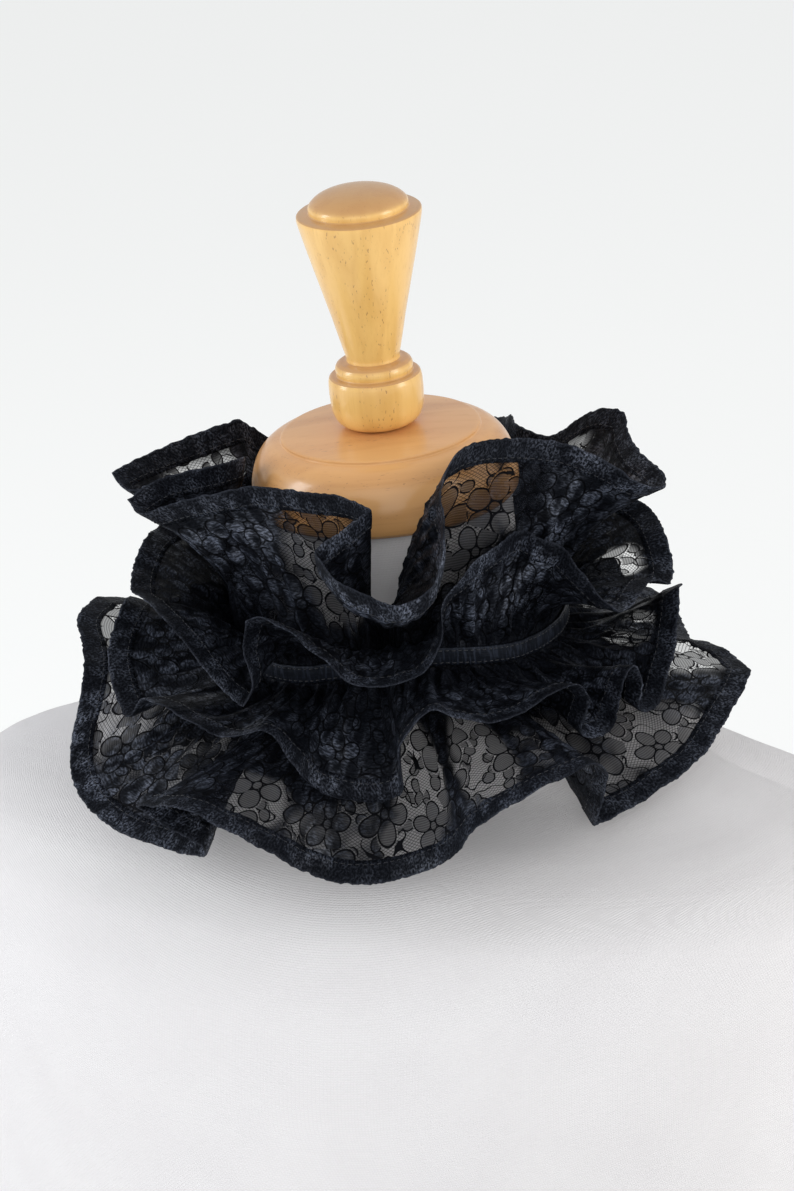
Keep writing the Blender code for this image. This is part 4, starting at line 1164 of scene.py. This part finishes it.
def turned(name, profile, sides, base, material, node):
    """A solid turned on a lathe round the neck's axis, from its base up."""
    rows = rounded(profile)
    angles = np.linspace(0.0, 2 * math.pi, sides, endpoint=False)
    ring = np.stack([rows[:, 0, None] * np.cos(angles), rows[:, 0, None] * np.sin(angles),
                     np.broadcast_to(rows[:, 1, None] + base, (len(rows), sides))], -1)
    faces = grid_faces(len(rows), sides, wrap=True)
    piece = make_piece(name, MM * ring, faces, material)
    work = bmesh.new()
    work.from_mesh(piece.data)
    bmesh.ops.remove_doubles(work, verts=work.verts, dist=1e-7)
    open_edges = [e for e in work.edges if e.is_boundary]
    if open_edges:
        bmesh.ops.contextual_create(work, geom=open_edges)
    bmesh.ops.recalc_face_normals(work, faces=work.faces)   # outwards
    work.to_mesh(piece.data)
    work.free()
    smooth_sides(piece.data, sharp=28)
    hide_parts(node)


# The cap is cut along its board, and the finial stands with its grain upright.
board_wood = turned_wood(
    "board_wood", (0.035, 0.32, 1.0), (0.30, 1.1, 1.1), (0.720, 0.382, 0.145),
    (0.595, 0.285, 0.098), (0.40, 0.19, 0.08), end_grain_and_top_shade=0.0, turn=-(COLLAR_TURN + 4.0))
turned("turned_cap", CAP_PROFILE, sides=160, base=FORM_HEIGHT, material=board_wood,
       node="neck_cap")
standing_wood = turned_wood(
    "standing_wood", (1.0, 1.0, 0.040), (1.1, 1.1, 0.26), (0.830, 0.515, 0.165),
    (0.710, 0.405, 0.110), (0.34, 0.16, 0.06), end_grain_and_top_shade=0.75)
turned("turned_finial", FINIAL_PROFILE, sides=112, base=FORM_HEIGHT + CAP_DOME + PIECE_GAP,
       material=standing_wood, node="finial")

wire = blackened_wire()
for node in ("back_hook", "back_eye"):
    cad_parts[node].data.materials.clear()
    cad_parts[node].data.materials.append(wire)

# ---- floor and light ----
FLOOR_HALF = 60.0


def stage_floor():
    mesh = bpy.data.meshes.new("floor")
    low, high = -FLOOR_HALF, FLOOR_HALF
    mesh.from_pydata([(low, low, 0), (high, low, 0), (high, high, 0), (low, high, 0)], [],
                     [(0, 1, 2, 3)])
    floor = put("floor", mesh)
    paint = Paint("pale_floor", Roughness=0.95, Specular_IOR_Level=0.0,
                  Emission_Color=(1.0, 1.0, 0.99, 1.0), Emission_Strength=0.235)
    mottle = paint.noise(paint.spot(), 0.9)
    paint.feed(Base_Color=paint.colour(mottle, (0.78, 0.785, 0.775), (0.80, 0.802, 0.792)))
    mesh.materials.append(paint.material)


def window(name, place, aim, size, power, colour):
    data = bpy.data.lights.new(name, "AREA")
    data.shape, data.size, data.size_y = "RECTANGLE", size[0], size[1]
    data.energy, data.color = power, colour
    light = put(name, data)
    light.location = about_neck(place)
    light.rotation_euler = (Vector(aim) - light.location).to_track_quat("-Z", "Y").to_euler()


def set_lights():
    world = bpy.data.worlds.new("studio")
    bpy.context.scene.world = world
    world.use_nodes = True
    sky = world.node_tree.nodes["Background"]
    sky.inputs["Color"].default_value = (0.97, 0.985, 1.0, 1.0)
    sky.inputs["Strength"].default_value = 0.68
    sun = bpy.data.lights.new("soft_sun", "SUN")
    sun.energy, sun.angle, sun.color = 0.72, math.radians(65.0), (1.0, 0.99, 0.985)
    fall = about_neck((0.1, 0.96, -0.24))
    put("soft_sun", sun).rotation_euler = fall.to_track_quat("-Z", "Y").to_euler()
    aim = (0.0, 0.0, 0.28)
    window("window", (-1.65, -0.10, 0.90), aim, (0.45, 1.1), 12.5, (0.93, 0.965, 1.0))
    window("right_window", (1.5, -0.70, 0.85), aim, (0.6, 1.1), 12.0, (1.0, 0.985, 0.96))


stage_floor()
set_lights()
view = bpy.context.scene.view_settings
view.view_transform = "Standard"
view.look = "None"
bpy.context.scene.cycles.transparent_max_bounces = 24
